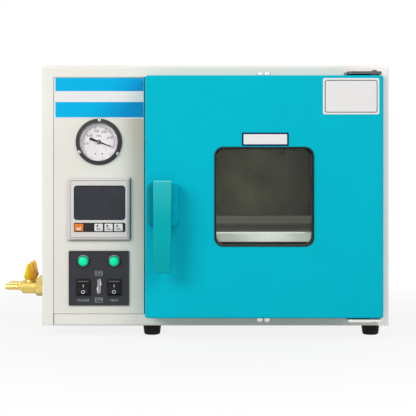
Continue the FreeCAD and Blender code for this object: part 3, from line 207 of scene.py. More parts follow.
def newGroup(name, inputs, outputs):
    group = bpy.data.node_groups.new(name, "ShaderNodeTree")
    for label, value in inputs.items():
        kind = "NodeSocketVector" if isinstance(value, tuple) else "NodeSocketFloat"
        group.interface.new_socket(label, in_out="INPUT", socket_type=kind).default_value = value
    for label, kind in outputs.items():
        group.interface.new_socket(label, in_out="OUTPUT", socket_type=kind)
    start = group.nodes.new("NodeGroupInput")
    end = group.nodes.new("NodeGroupOutput")
    return group, start, end


def makeEdgeGroup():
    # rounds the shading at an edge and marks where that edge is
    group, start, end = newGroup("roundedEdge", {"Radius": 0.0006, "Gain": 8.0},
                                 {"Edge": "NodeSocketFloat", "Normal": "NodeSocketVector"})
    nodes, links = group.nodes, group.links
    bevel = nodes.new("ShaderNodeBevel")
    bevel.samples = 6
    surface = nodes.new("ShaderNodeNewGeometry")
    level = nodes.new("ShaderNodeVectorMath")
    level.operation = "DOT_PRODUCT"
    links.new(start.outputs["Radius"], bevel.inputs["Radius"])
    links.new(bevel.outputs["Normal"], level.inputs[0])
    links.new(surface.outputs["Normal"], level.inputs[1])
    bend = addMath(nodes, links, "SUBTRACT", 1.0, level.outputs["Value"])
    strong = addMath(nodes, links, "MULTIPLY", bend.outputs[0], start.outputs["Gain"])
    strong.use_clamp = True
    links.new(strong.outputs[0], end.inputs["Edge"])
    links.new(bevel.outputs["Normal"], end.inputs["Normal"])
    return group


def makeNoiseGroup(name, detail, rough):
    # noise on object coordinates, stretched by Stretch
    inputs = {"Scale": 400.0, "Stretch": (1.0, 1.0, 1.0), "Low": 0.3, "High": 0.7}
    group, start, end = newGroup(name, inputs, {"Tone": "NodeSocketFloat"})
    nodes, links = group.nodes, group.links
    stretch = addPlace(nodes, links, "MULTIPLY", start.outputs["Stretch"])
    noise = nodes.new("ShaderNodeTexNoise")
    noise.inputs["Detail"].default_value = detail
    noise.inputs["Roughness"].default_value = rough
    links.new(stretch.outputs["Vector"], noise.inputs["Vector"])
    links.new(start.outputs["Scale"], noise.inputs["Scale"])
    spread = addRange(nodes, links, noise.outputs["Fac"])
    links.new(start.outputs["Low"], spread.inputs["From Min"])
    links.new(start.outputs["High"], spread.inputs["From Max"])
    links.new(spread.outputs[0], end.inputs["Tone"])
    return group


def makeFadeGroup():
    # 0 before Start and 1 past End, measured along Way in metres
    inputs = {"Way": (1.0, 0.0, 0.0), "Start": 0.0, "End": 0.1}
    group, start, end = newGroup("softFade", inputs, {"Tone": "NodeSocketFloat"})
    nodes, links = group.nodes, group.links
    along = addPlace(nodes, links, "DOT_PRODUCT", start.outputs["Way"])
    spread = addRange(nodes, links, along.outputs["Value"])
    spread.interpolation_type = "SMOOTHSTEP"
    links.new(start.outputs["Start"], spread.inputs["From Min"])
    links.new(start.outputs["End"], spread.inputs["From Max"])
    links.new(spread.outputs[0], end.inputs["Tone"])
    return group


edgeGroup = makeEdgeGroup()
fadeGroup = makeFadeGroup()
grainGroup = makeNoiseGroup("fineGrain", 3.0, 0.55)
patchGroup = makeNoiseGroup("softPatches", 4.0, 0.6)


# Materials

def tint(colour):
    # screen colour, 0 to 255, as the linear colour that a shader takes
    def linear(value):
        share = value / 255
        return share / 12.92 if share <= 0.04045 else ((share + 0.055) / 1.055) ** 2.4
    return tuple(linear(value) for value in colour) + (1,)


def addGroup(nodes, group, values):
    node = nodes.new("ShaderNodeGroup")
    node.node_tree = group
    for label, value in values.items():
        node.inputs[label].default_value = value
    return node


usual = {       # what a look has where it says nothing else
    "grain": 1500.0, "stretch": (1.0, 1.0, 1.0), "patch": 9.0, "uneven": 0.6, "flecks": 0.12, "edge": 0.6,
    "edgeGain": 7.0, "wornEdge": 0.35, "roughSpread": 0.06, "bump": 0.25, "depth": 0.05, "metal": 0.0,
    "specular": 0.4, "glow": 0.0, "fades": (),
}


def surfaceMaterial(name, own):
    # one layout for paint, plastic, rubber and metal; each look gives its own values
    look = {**usual, "fleck": own["shade"], "wear": own["colour"], **own}
    material, nodes, links, shader = newMaterial(name)
    noise = addGroup(nodes, grainGroup, {"Scale": look["grain"], "Stretch": look["stretch"]})
    grain = noise.outputs["Tone"]
    patch = addGroup(nodes, patchGroup, {"Scale": look["patch"]}).outputs["Tone"]
    edge = addGroup(nodes, edgeGroup, {"Radius": look["edge"] * mm, "Gain": look["edgeGain"]})
    colour = mixColours(nodes, links, patch, tint(look["colour"]), tint(look["shade"]), look["uneven"])
    for change in look["fades"]:
        values = {"Way": change["way"], "Start": change["start"], "End": change["end"]}
        tone = addGroup(nodes, fadeGroup, values).outputs["Tone"]
        colour = mixColours(nodes, links, tone, colour, tint(change["colour"]), 1.0)
    colour = mixColours(nodes, links, grain, colour, tint(look["fleck"]), look["flecks"])
    # edges take the edge colour: wear on most finishes, and painted shade or a painted highlight on some
    colour = mixColours(nodes, links, edge.outputs["Edge"], colour, tint(look["wear"]), look["wornEdge"])
    links.new(colour, shader.inputs["Base Color"])
    smooth, coarse = look["rough"] - look["roughSpread"], look["rough"] + look["roughSpread"]
    links.new(addRange(nodes, links, grain, smooth, coarse).outputs[0], shader.inputs["Roughness"])
    bump = nodes.new("ShaderNodeBump")
    bump.inputs["Strength"].default_value = look["bump"]
    bump.inputs["Distance"].default_value = look["depth"] * mm
    links.new(grain, bump.inputs["Height"])
    links.new(edge.outputs["Normal"], bump.inputs["Normal"])
    links.new(bump.outputs[0], shader.inputs["Normal"])
    shader.inputs["Metallic"].default_value = look["metal"]
    shader.inputs["Specular IOR Level"].default_value = look["specular"]
    if look["glow"]:
        shader.inputs["Emission Color"].default_value = tint(look["colour"])
        shader.inputs["Emission Strength"].default_value = look["glow"]
    return material


def glassMaterial(name, look):
    material, nodes, links, shader = newMaterial(name)
    smear = addGroup(nodes, patchGroup, {"Scale": look["smear"], "Low": 0.45, "High": 0.75})
    haze = addRange(nodes, links, smear.outputs["Tone"], 0.0, look["hazy"])
    links.new(haze.outputs[0], shader.inputs["Roughness"])
    shader.inputs["Base Color"].default_value = tint(look["colour"])
    shader.inputs["Transmission Weight"].default_value = 1.0
    shader.inputs["IOR"].default_value = look["bend"]
    shader.inputs["Specular IOR Level"].default_value = look["specular"]
    through = nodes.new("ShaderNodeBsdfTransparent")        # lamp light passes the pane
    through.inputs["Color"].default_value = tint(look["colour"])
    rays = nodes.new("ShaderNodeLightPath")
    mixShaders(nodes, links, rays.outputs["Is Shadow Ray"], shader, through)
    return material


def fade(way, start, end, colour):
    # the finish turns into this colour between start and end, in metres along the way
    return {"way": way, "start": start, "end": end, "colour": colour}


right, left = (1.0, 0.0, 0.0), (-1.0, 0.0, 0.0)
back, up, down = (0.0, 1.0, 0.0), (0.0, 0.0, 1.0), (0.0, 0.0, -1.0)

sheetPaint = {"rough": 0.42, "depth": 0.03}
ivory = {**sheetPaint, "colour": (230, 228, 220), "shade": (223, 220, 211)}
cabinetPaint = {**ivory, "wear": (236, 236, 230), "specular": 0.25, "edge": 0.8}
steel = {"grain": 900.0, "rough": 0.2, "metal": 1.0}
oldSteel = {"grain": 700.0, "patch": 60.0, "metal": 1.0}
brushed = {"grain": 420.0, "stretch": (1.0, 12.0, 12.0), "bump": 0.1, "depth": 0.01}
rubber = {"grain": 1100.0, "rough": 0.6, "specular": 0.15}
keyCap = {"grain": 2000.0, "rough": 0.5, "bump": 0.3, "specular": 0.2}
switchCap = {"colour": (22, 21, 25), "shade": (16, 16, 19), "wear": (66, 66, 70), "grain": 1600.0,
             "rough": 0.36, "edge": 0.7, "wornEdge": 0.5, "specular": 0.2}
ink = {"rough": 0.5, "bump": 0.1, "specular": 0.1}

looks = {
    "ivoryPaint": cabinetPaint,
    # the rim's right end is painted lighter, as painted light where the door shades it
    "rimPaint": {**cabinetPaint, "fades": (fade((0.05, -1.0, 0.0), 0.1575, 0.1595, (249, 243, 237)),)},
    # the panel is painted darker and warmer towards the door, as painted shade
    "panelPaint": {**sheetPaint, "colour": (226, 224, 215), "shade": (218, 215, 205),
                   "wear": (228, 226, 218), "specular": 0.2, "edge": 0.5,
                   "fades": (fade((1.0, 0.0, 0.1), -0.084, -0.038, (197, 184, 166)),)},
    "framePaint": {**ivory, "wear": (226, 225, 217), "specular": 0.2, "edge": 0.4,
                   "fades": (fade(left, 0.0605, 0.0625, (70, 62, 54)),)},   # painted shade in the panel's gap
    "tealPaint": {"colour": (0, 181, 201), "shade": (0, 173, 193), "wear": (24, 190, 208), "grain": 1300.0,
                  "rough": 0.4, "specular": 0.05, "bump": 0.3, "depth": 0.03, "edge": 0.8, "wornEdge": 0.2},
    # darker than the door, as painted shade behind the lever, and painted lighter towards its right, as
    # painted light
    "blockPaint": {"colour": (0, 142, 156), "shade": (0, 136, 150), "grain": 1300.0, "rough": 0.5,
                   "specular": 0.03, "bump": 0.2, "depth": 0.03, "edge": 0.2,
                   "fades": (fade(right, -0.034, -0.024, (0, 182, 206)),)},
    # its edges take a lighter colour as painted highlights; the upper part is painted lighter and its top
    # edge a pale line, as painted light from above, and the lower part darker, as painted shade
    "leverPaint": {"colour": (0, 168, 174), "shade": (0, 160, 166), "wear": (70, 194, 198), "grain": 1800.0,
                   "rough": 0.4, "specular": 0.08, "bump": 0.4, "depth": 0.04, "edge": 1.0, "wornEdge": 0.5,
                   "flecks": 0.25,
                   "fades": (fade(up, 0.175, 0.237, (44, 178, 184)),
                             fade(up, 0.2345, 0.2362, (96, 200, 208)),
                             fade(down, -0.16, -0.103, (0, 158, 164)))},
    "zincSheet": {"colour": (186, 190, 194), "shade": (160, 166, 172), "grain": 500.0, "patch": 60.0,
                  "rough": 0.38, "metal": 1.0, "uneven": 0.8},
    # the lower plates are painted pale, as painted light; the upper ones keep the dark steel
    "hingeSteel": {**oldSteel, "colour": (104, 108, 106), "shade": (80, 84, 84), "wear": (190, 192, 190),
                   "rough": 0.36, "fades": (fade(down, -0.2, -0.1, (235, 235, 233)),)},
    "pinSteel": {**oldSteel, "colour": (92, 95, 94), "shade": (70, 73, 73), "rough": 0.4},
    "capSteel": {**steel, "colour": (226, 226, 226), "shade": (204, 205, 206), "flecks": 0.05},
    "stainless": {**brushed, "colour": (196, 198, 197), "shade": (172, 175, 174), "rough": 0.3, "metal": 1.0},
    # the front lip is left near white as painted light; the top behind it is painted dark and the rear
    # upstand grey, as painted shade inside the chamber
    "shelfSteel": {**brushed, "colour": (238, 246, 250), "shade": (226, 233, 238), "rough": 0.5,
                   "metal": 0.25,
                   "fades": (fade(back, -0.127, -0.118, (146, 148, 138)),
                             fade(up, 0.158, 0.16, (196, 198, 191)))},
    # a dark olive for the stainless chamber and its probe, darker again at both sides, as painted shade
    # inside the chamber
    "chamberSteel": {"colour": (107, 109, 88), "shade": (78, 79, 64), "grain": 420.0, "patch": 16.0,
                     "stretch": (12.0, 12.0, 1.0), "rough": 0.42, "metal": 0.85, "bump": 0.08, "depth": 0.01,
                     "uneven": 1.0,
                     "fades": (fade(right, 0.158, 0.183, (86, 88, 77)),
                               fade(left, -0.066, -0.042, (92, 94, 82)))},
    "brightSteel": {**steel, "colour": (205, 206, 208), "shade": (180, 182, 186), "wear": (235, 236, 238)},
    # near white and glowing a little: a painted highlight
    "lipSteel": {**steel, "colour": (250, 250, 250), "shade": (238, 238, 238), "rough": 0.15,
                 "flecks": 0.05, "bump": 0.05, "glow": 0.12},
    "brassRough": {"colour": (250, 226, 136), "shade": (206, 172, 92), "fleck": (176, 138, 70),
                   "wear": (252, 236, 176), "grain": 900.0, "patch": 240.0, "rough": 0.34, "metal": 1.0,
                   "bump": 0.5, "depth": 0.08, "flecks": 0.35, "uneven": 0.7,
                   "fades": (fade(down, -0.05, -0.043, (170, 140, 76)),)},
    "brassPolished": {"colour": (240, 220, 166), "shade": (222, 198, 138), "grain": 700.0, "rough": 0.16,
                      "metal": 1.0},
    "siliconeRed": {"colour": (196, 98, 72), "shade": (176, 84, 62), "grain": 900.0, "rough": 0.55},
    "blackRubber": {**rubber, "colour": (26, 26, 25), "shade": (18, 18, 17), "wear": (52, 52, 50),
                    "bump": 0.5, "depth": 0.08, "edge": 1.0},
    # painted lighter along the bottom than at the top and sides, as painted light
    "windowRubber": {**rubber, "colour": (40, 41, 37), "shade": (34, 35, 31), "wear": (42, 42, 38),
                     "bump": 0.4, "edge": 0.8, "fades": (fade(down, -0.151, -0.144, (55, 55, 50)),)},
    "heaterMat": {"colour": (150, 66, 44), "shade": (132, 56, 38), "grain": 600.0, "rough": 0.6},
    "mineralWool": {"colour": (216, 208, 176), "shade": (190, 180, 146), "grain": 260.0,
                    "stretch": (1.0, 1.0, 5.0), "rough": 0.95, "specular": 0.1, "bump": 1.0, "depth": 1.2,
                    "flecks": 0.5},
    "gaugeBlack": {"colour": (55, 53, 55), "shade": (46, 44, 46), "wear": (120, 114, 114), "grain": 1400.0,
                   "rough": 0.34, "edge": 0.7, "wornEdge": 0.5, "bump": 0.3},
    "dialWhite": {"colour": (198, 193, 196), "shade": (191, 186, 189), "grain": 1800.0, "rough": 0.6,
                  "specular": 0.2},
    "needleBlack": {"colour": (20, 20, 22), "shade": (14, 14, 16), "rough": 0.5, "specular": 0.15},
    # its edges take a darker colour, as painted shade in the frame's steps; the dark line down its right side
    # and along its bottom is a painted shadow
    "controllerWhite": {"colour": (215, 211, 208), "shade": (207, 202, 199), "wear": (160, 154, 152),
                        "grain": 2200.0, "rough": 0.46, "bump": 0.35, "depth": 0.04, "edge": 0.5,
                        "wornEdge": 0.2, "specular": 0.2,
                        "fades": (fade(right, -0.0887, -0.0881, (58, 50, 44)),
                                  fade(down, -0.146, -0.1448, (112, 106, 100)))},
    "controllerBlack": {"colour": (30, 31, 34), "shade": (24, 25, 28), "grain": 1800.0, "rough": 0.5,
                        "bump": 0.4, "specular": 0.2},
    "screenDark": {"colour": (46, 48, 56), "shade": (39, 41, 49), "grain": 2600.0, "patch": 26.0,
                   "rough": 0.24, "bump": 0.05, "specular": 0.3, "uneven": 1.0,
                   "fades": (fade(down, -0.1745, -0.1735, (32, 26, 30)),)},
    "keyOrange": {**keyCap, "colour": (228, 128, 44), "shade": (218, 116, 36)},
    "keyWhite": {**keyCap, "colour": (228, 226, 224), "shade": (216, 214, 212)},
    "plateGrey": {"colour": (49, 50, 54), "shade": (43, 44, 48), "wear": (84, 85, 90), "grain": 2000.0,
                  "rough": 0.45, "bump": 0.5, "specular": 0.25},
    "switchBlack": switchCap,
    # a pale line along the rockers' top edge, a painted highlight
    "rockerBlack": {**switchCap, "fades": (fade(up, 0.0828, 0.0836, (112, 112, 104)),)},
    # the lens is painted darker towards its rim, as painted shade; its glow is the lit lamp's own
    "lampGreen": {"colour": (0, 232, 172), "shade": (0, 222, 160), "grain": 900.0, "rough": 0.3,
                  "specular": 0.15, "glow": 0.1, "fades": (fade(back, -0.1542, -0.1522, (0, 128, 96)),)},
    # its edges take a lighter colour, a painted highlight on the holder's rim
    "lampBlack": {"colour": (28, 34, 34), "shade": (22, 26, 27), "wear": (120, 140, 136), "grain": 1300.0,
                  "rough": 0.26, "edge": 0.8, "wornEdge": 0.6},
    # dark, with its upper arc painted light: a painted highlight
    "lampEdge": {"colour": (26, 31, 31), "shade": (21, 25, 25), "grain": 1300.0, "rough": 0.22,
                 "fades": (fade(up, 0.115, 0.1215, (196, 208, 202)),)},
    # yellow on the left, turning orange-brown towards the right, as painted shade on the side away from the
    # light
    "handleYellow": {"colour": (255, 224, 36), "shade": (250, 210, 22), "wear": (252, 206, 40),
                     "grain": 1200.0, "rough": 0.4, "edge": 0.4, "bump": 0.3, "specular": 0.2,
                     "fades": (fade(right, -0.2665, -0.259, (228, 158, 10)),)},
    "filmWhite": {**ink, "colour": (228, 226, 225), "shade": (222, 220, 219), "rough": 0.32, "specular": 0.3},
    # the blue turns darker towards the lower right, as a painted reflection across the film
    "filmBlue": {**ink, "colour": (0, 175, 223), "shade": (0, 169, 217), "rough": 0.34,
                 "fades": (fade((0.8, 0.0, -0.6), -0.335, -0.27, (0, 140, 196)),)},
    "filmNavy": {**ink, "colour": (12, 34, 84), "shade": (8, 26, 70), "rough": 0.4},
    "filmInk": {**ink, "colour": (44, 42, 40), "shade": (34, 32, 30)},
    "dialInk": {**ink, "colour": (36, 32, 40), "shade": (28, 25, 32)},
    # painted shade where the controller's frame steps down
    "seamGrey": {**ink, "colour": (150, 146, 142), "shade": (140, 136, 132)},
    "screenEdge": {**ink, "colour": (28, 26, 33), "shade": (22, 20, 27), "rough": 0.4},
    "printBlack": {**ink, "colour": (24, 20, 20), "shade": (18, 15, 15)},
    "printWhite": {**ink, "colour": (232, 232, 230), "shade": (222, 222, 220), "specular": 0.4},
    "printGrey": {**ink, "colour": (176, 177, 180), "shade": (164, 165, 168), "specular": 0.2},
    "printSilver": {**ink, "colour": (220, 221, 224), "shade": (204, 205, 209), "rough": 0.35, "metal": 0.5,
                    "specular": 0.4},
}

glassLooks = {
    "windowGlass": {"colour": (250, 251, 247), "smear": 14.0, "hazy": 0.03, "bend": 1.2, "specular": 0.3},
    "gaugeGlass": {"colour": (253, 253, 253), "smear": 60.0, "hazy": 0.02, "bend": 1.3, "specular": 0.3},
}

finishes = {name: surfaceMaterial(name, look) for name, look in looks.items()}
finishes.update({name: glassMaterial(name, look) for name, look in glassLooks.items()})

slotFinish = {      # every other slot has the look of its own name: ivory_paint is ivoryPaint
    "brass": "brassRough", "silicone": "siliconeRed", "clear_glass": "windowGlass", "screen": "screenDark",
    "ball_brass": "brassPolished",
}

nodeFinish = {      # where the photograph shows a node in a look of its own
    "gauge_glass": "gaugeGlass", "control_panel": "panelPaint", "latch_block": "blockPaint",
    "chamber": "chamberSteel", "shelf": "shelfSteel", "window_trim": "windowRubber",
    "front_frame": "framePaint", "cabinet_wrap": "rimPaint", "temperature_probe": "chamberSteel",
    "power_rocker": "rockerBlack", "heater_rocker": "rockerBlack",
    "hinge_plates": "hingeSteel", "hinge_pins": "pinSteel", "door_bushings": "pinSteel",
}


def dressNodes():
    for part in frame["record"]["subparts"]:
        node = nodeObjects[part["node"]]
        slot = part["material_slot"]
        first, *others = slot.split("_")
        plain = first + "".join(word.title() for word in others)
        node.data.materials.clear()
        addFinishes(node, nodeFinish.get(part["node"], slotFinish.get(slot, plain)))
    print("nodes dressed:", len(nodeObjects))


def addFinishes(piece, *names):
    for name in names:
        piece.data.materials.append(finishes[name])


# Where the nodes are, in millimetres

def boxOf(node):
    low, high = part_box(node)
    return low / mm, high / mm


def middleOf(node):
    low, high = boxOf(node)
    return (low + high) / 2


def frontOf(node):
    return boxOf(node)[0].y


# Helpers for modelling

def clearSelection():
    bpy.ops.object.select_all(action="DESELECT")


def pickPiece(piece):
    # selects this piece and nothing else
    clearSelection()
    bpy.context.view_layer.objects.active = piece
    piece.select_set(True)


def startEdit():
    # the whole mesh starts selected
    bpy.ops.object.mode_set(mode="EDIT")
    bpy.ops.mesh.select_all(action="SELECT")


def endEdit():
    bpy.ops.object.mode_set(mode="OBJECT")


def pickParts(kind, test):
    # selects the faces or edges that pass the test and nothing else
    bpy.ops.mesh.select_all(action="DESELECT")
    bpy.ops.mesh.select_mode(type=kind)
    data = bpy.context.object.data
    mesh = bmesh.from_edit_mesh(data)
    for part in mesh.faces if kind == "FACE" else mesh.edges:
        part.select_set(bool(test(part)))
    bmesh.update_edit_mesh(data)


def pickRim(height):
    # the edges that lie at this height
    pickParts("EDGE", lambda edge: all(abs(corner.co.z - height * mm) < 1e-6 for corner in edge.verts))


def pickTop():
    pickParts("FACE", lambda face: face.normal.z > 0.9)


def applyAll(piece):
    pickPiece(piece)
    for modifier in list(piece.modifiers):
        bpy.ops.object.modifier_apply(modifier=modifier.name)


def copyPiece(piece):
    pickPiece(piece)
    bpy.ops.object.duplicate()
    return bpy.context.object


def removePiece(piece):
    clearSelection()
    piece.select_set(True)
    bpy.ops.object.delete()


def fixPlace(piece, turn, place):
    # its turn and place go into its mesh
    pickPiece(piece)
    piece.rotation_euler = turn
    piece.location = place
    bpy.ops.object.transform_apply()
    return piece


def turnFlat(piece, degrees):
    return fixPlace(piece, (0, 0, math.radians(degrees)), (0, 0, 0))


facing = (math.pi / 2, 0, 0)        # stands a flat piece up so that it faces the user


def placeFlat(piece, x, y, z):
    # x, y and z in millimetres
    return fixPlace(piece, facing, (x * mm, y * mm, z * mm))


def layOn(node, piece, x, z):
    # lays a flat piece on the node's front, turned to the face that it meets; x and z in millimetres
    ahead = 50.0
    start = Vector((x, frontOf(node) - ahead, z)) * mm
    place, normal = nodeObjects[node].ray_cast(start, Vector((0, 1, 0)))[1:3]
    tilt = math.atan2(normal.z, -normal.y)
    return fixPlace(piece, (math.pi / 2 - tilt, 0, 0), place)


def settle(parts, name, body):
    # the parts become one piece that rides on its body
    clearSelection()
    for part in parts:
        part.select_set(True)
    bpy.context.view_layer.objects.active = parts[0]
    if len(parts) > 1:
        bpy.ops.object.join()
    piece = bpy.context.object
    piece.name = name
    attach(piece, body)


def roundBlank(sides, radius, height):
    # stands on the origin
    clearSelection()
    bpy.ops.mesh.primitive_cylinder_add(vertices=sides, radius=radius * mm, depth=height * mm,
                                        location=(0, 0, height / 2 * mm))
    bpy.ops.object.transform_apply()
    return bpy.context.object


def drawTop(inwards, upwards):
    # a smaller face inside the one that is picked, lifted or sunk
    bpy.ops.mesh.inset(thickness=inwards * mm)
    bpy.ops.transform.translate(value=(0, 0, upwards * mm))


def flatPlate(wide, high, corner, steps=5):
    # thin sheet seen from above, with round corners
    clearSelection()
    bpy.ops.mesh.primitive_plane_add(size=1)
    plate = bpy.context.object
    plate.scale = (wide * mm, high * mm, 1)
    bpy.ops.object.transform_apply()
    if corner:
        startEdit()
        bpy.ops.mesh.bevel(affect="VERTICES", offset=corner * mm, segments=steps)
        endEdit()
    return plate


def thicken(piece, depth):
    thick = piece.modifiers.new("thickness", "SOLIDIFY")
    thick.thickness = depth * mm
    thick.offset = 1.0
    applyAll(piece)


def makeBar(wide, high, corner, thick, finish):
    bar = flatPlate(wide, high, corner, steps=3)
    thicken(bar, thick)
    addFinishes(bar, finish)
    return bar


def makeOutline(wide, high, corner, line, thick, finish):
    outline = flatPlate(wide, high, corner, steps=6)
    startEdit()
    bpy.ops.mesh.inset(thickness=line * mm)
    bpy.ops.mesh.delete(type="FACE")
    endEdit()
    thicken(outline, thick)
    addFinishes(outline, finish)
    return outline


def makeWord(body, size, thick, finish):
    # flat lettering, made a mesh before it is placed
    clearSelection()
    bpy.ops.object.text_add()
    letters = bpy.context.object.data
    letters.body = body
    letters.size = size * mm
    letters.align_x = "CENTER"
    letters.align_y = "CENTER"
    letters.extrude = thick / 2 * mm
    letters.resolution_u = 3
    bpy.ops.object.convert(target="MESH")
    word = bpy.context.object
    addFinishes(word, finish)
    return word


# Film on top of the control panel: blue, white and blue bands on a white sheet

def addHeaderFilm():
    look = {"wide": 134.2, "high": 61.6, "corner": 0.6, "thick": 0.15, "fromTop": 0.5, "shift": 0.4,
            "edges": (1.1, 0.2), "firstBand": 20.2, "gap": 16.3, "secondBand": 23.2}
    low, high = boxOf("control_panel")
    film = flatPlate(look["wide"], look["high"], look["corner"])
    addFinishes(film, "filmWhite", "filmBlue")
    upper = look["high"] / 2 - look["firstBand"]
    middle = upper - look["gap"]
    lower = middle - look["secondBand"]
    side = look["wide"] / 2
    start, end = look["edges"][0] - side, side - look["edges"][1]
    cuts = [((0, line * mm, 0), (0, 1, 0)) for line in (upper, middle, lower)]
    cuts += [((line * mm, 0, 0), (1, 0, 0)) for line in (start, end)]
    startEdit()
    for place, way in cuts:
        bpy.ops.mesh.select_all(action="SELECT")
        bpy.ops.mesh.bisect(plane_co=place, plane_no=way)

    def isBlue(face):
        place = face.calc_center_median() / mm
        return start < place.x < end and (place.y > upper or lower < place.y < middle)

    pickParts("FACE", isBlue)
    film.active_material_index = 1
    bpy.ops.object.material_slot_assign()
    endEdit()
    thicken(film, look["thick"])
    placeFlat(film, (low.x + high.x) / 2 + look["shift"], low.y, high.z - look["fromTop"] - look["high"] / 2)
    settle([film], "header_film", "cabinet")
    print("header film laid")


# Bare labels on the door

def addDoorLabels():
    window = {"wide": 69.0, "high": 19.8, "corner": 1.4, "line": 2.5, "inner": 0.6, "up": 11.6, "shift": 1.6}
    corner = {"wide": 83.0, "high": 53.6, "corner": 2.6, "margin": 2.9, "line": 1.0, "inner": 3.0,
              "left": 47.9, "down": 31.0}
    film = {"thick": 0.16, "step": 0.06}        # the upper layer stands a step proud
    low, high = boxOf("door_shell")
    x = middleOf("window_trim").x + window["shift"]
    z = boxOf("window_trim")[1].z + window["up"]
    border = makeBar(window["wide"], window["high"], window["corner"], film["thick"], "filmNavy")
    sheet = makeBar(window["wide"] - 2 * window["line"], window["high"] - 2 * window["line"], window["inner"],
                    film["thick"], "filmWhite")
    layers = [placeFlat(border, x, low.y, z), placeFlat(sheet, x, low.y - film["step"], z)]
    settle(layers, "window_label", "door")
    x, z = high.x - corner["left"], high.z - corner["down"]
    sheet = makeBar(corner["wide"], corner["high"], corner["corner"], film["thick"], "filmWhite")
    line = makeOutline(corner["wide"] - 2 * corner["margin"], corner["high"] - 2 * corner["margin"],
                       corner["inner"], corner["line"], film["thick"], "filmInk")
    layers = [placeFlat(sheet, x, low.y, z), placeFlat(line, x, low.y - film["step"], z)]
    settle(layers, "corner_label", "door")
    print("door labels laid")


# Screws: a domed head with a cross recess, modelled once for each size

headShape = {
    "flat": 0.55, "slotWide": 0.24, "slotArm": 0.42,        # shares of the radius
    "rounding": 0.35,                                       # share of the height
    "sides": 32, "smooth": 35,
}


def makeScrew(look):
    screw = roundBlank(headShape["sides"], look["radius"], look["height"])
    startEdit()
    pickTop()
    drawTop(look["radius"] * headShape["flat"], look["crown"])
    pickRim(look["height"])
    bpy.ops.mesh.bevel(offset=look["height"] * headShape["rounding"] * mm, segments=3)
    endEdit()
    recess = crossCutter(look)
    cut = screw.modifiers.new("recess", "BOOLEAN")
    cut.operation = "DIFFERENCE"
    cut.object = recess
    applyAll(screw)
    removePiece(recess)
    pickPiece(screw)
    bpy.ops.object.shade_smooth_by_angle(angle=math.radians(headShape["smooth"]))
    addFinishes(screw, "brightSteel")
    return screw


def crossCutter(look):
    # a square core with an arm drawn out of each side
    wide = look["radius"] * headShape["slotWide"] * mm
    top = (0, 0, (look["height"] + look["crown"]) * mm)
    clearSelection()
    bpy.ops.mesh.primitive_cube_add(size=wide, location=top)
    cutter = bpy.context.object
    startEdit()
    pickParts("FACE", lambda face: abs(face.normal.z) < 0.5)
    arm = look["radius"] * headShape["slotArm"] * mm
    bpy.ops.mesh.extrude_faces_move(TRANSFORM_OT_shrink_fatten={"value": arm})
    bpy.ops.mesh.select_all(action="SELECT")
    bpy.ops.transform.resize(value=(1, 1, look["height"] * mm / wide), center_override=top)
    endEdit()
    return cutter


def placeScrews(master, name, places, turn, body):
    # places are in millimetres; the head's axis follows turn
    heads = [fixPlace(copyPiece(master), turn, Vector(place) * mm) for place in places]
    settle(heads, name, body)


def addScrews():
    panel = {"radius": 3.6, "height": 1.8, "crown": 0.4}
    addGaugeScrews()
    master = makeScrew(panel)
    addRearScrews(master)
    addDoorPlateScrews(master)
    addFootScrews(master)
    removePiece(master)
    addHingeScrews()
    print("screws set")


upright, hanging, backwards = (0, 0, 0), (math.pi, 0, 0), (-math.pi / 2, 0, 0)


def addGaugeScrews():
    look = {"radius": 2.5, "height": 1.3, "crown": 0.3, "circle": 32.4, "count": 3, "start": 88.0,
            "flange": 3.3}
    middle = middleOf("gauge_dial")
    y = frontOf("gauge_glass") + look["flange"]
    places = []
    for number in range(look["count"]):
        turn = math.radians(look["start"] + 360 / look["count"] * number)
        across, rise = look["circle"] * math.cos(turn), look["circle"] * math.sin(turn)
        places.append((middle.x + across, y, middle.z + rise))
    master = makeScrew(look)
    placeScrews(master, "gauge_screws", places, facing, "cabinet")
    removePiece(master)


def addRearScrews(master):
    look = {"in": 9.0, "across": 4, "up": 3}
    low, high = boxOf("cabinet_wrap")
    x0, x1 = low.x + look["in"], high.x - look["in"]
    z0, z1 = low.z + look["in"], high.z - look["in"]
    columns = [x0 + (x1 - x0) * number / (look["across"] - 1) for number in range(look["across"])]
    rows = [z0 + (z1 - z0) * number / (look["up"] - 1) for number in range(look["up"])]
    places = [(x, high.y, z) for x in columns for z in (z0, z1)]
    places += [(x, high.y, z) for x in (x0, x1) for z in rows[1:-1]]
    placeScrews(master, "rear_screws", places, backwards, "cabinet")


def addDoorPlateScrews(master):
    look = {"in": 12.0, "aboveMiddle": 60.0}        # the left edge's third screw clears the latch
    low, high = boxOf("door_plate")
    x0, x1 = low.x + look["in"], high.x - look["in"]
    z0, z1 = low.z + look["in"], high.z - look["in"]
    middle = (low.z + high.z) / 2
    places = [(x, high.y, z) for x in (x0, x1) for z in (z0, z1)]
    places += [(x0, high.y, middle + look["aboveMiddle"]), (x1, high.y, middle)]
    placeScrews(master, "door_plate_screws", places, backwards, "door")


def addFootScrews(master):
    look = {"foot": 14.0, "seat": 12.5}
    low, high = boxOf("feet")
    columns = (low.x + look["foot"], high.x - look["foot"])
    rows = (low.y + look["foot"], high.y - look["foot"])
    places = [(x, y, look["seat"]) for x in columns for y in rows]
    placeScrews(master, "foot_screws", places, hanging, "cabinet")


def addHingeScrews():
    look = {"radius": 3.4, "height": 0.7, "crown": 0.15, "from": 8.0, "apart": 16.0, "in": 9.0}
    low, high = boxOf("hinge_plates")
    columns = (low.x + look["from"], low.x + look["from"] + look["apart"])
    y = high.y - look["in"]
    master = makeScrew(look)
    placeScrews(master, "hinge_screws_top", [(x, y, high.z) for x in columns], upright, "cabinet")
    placeScrews(master, "hinge_screws_bottom", [(x, y, low.z) for x in columns], hanging, "cabinet")
    removePiece(master)


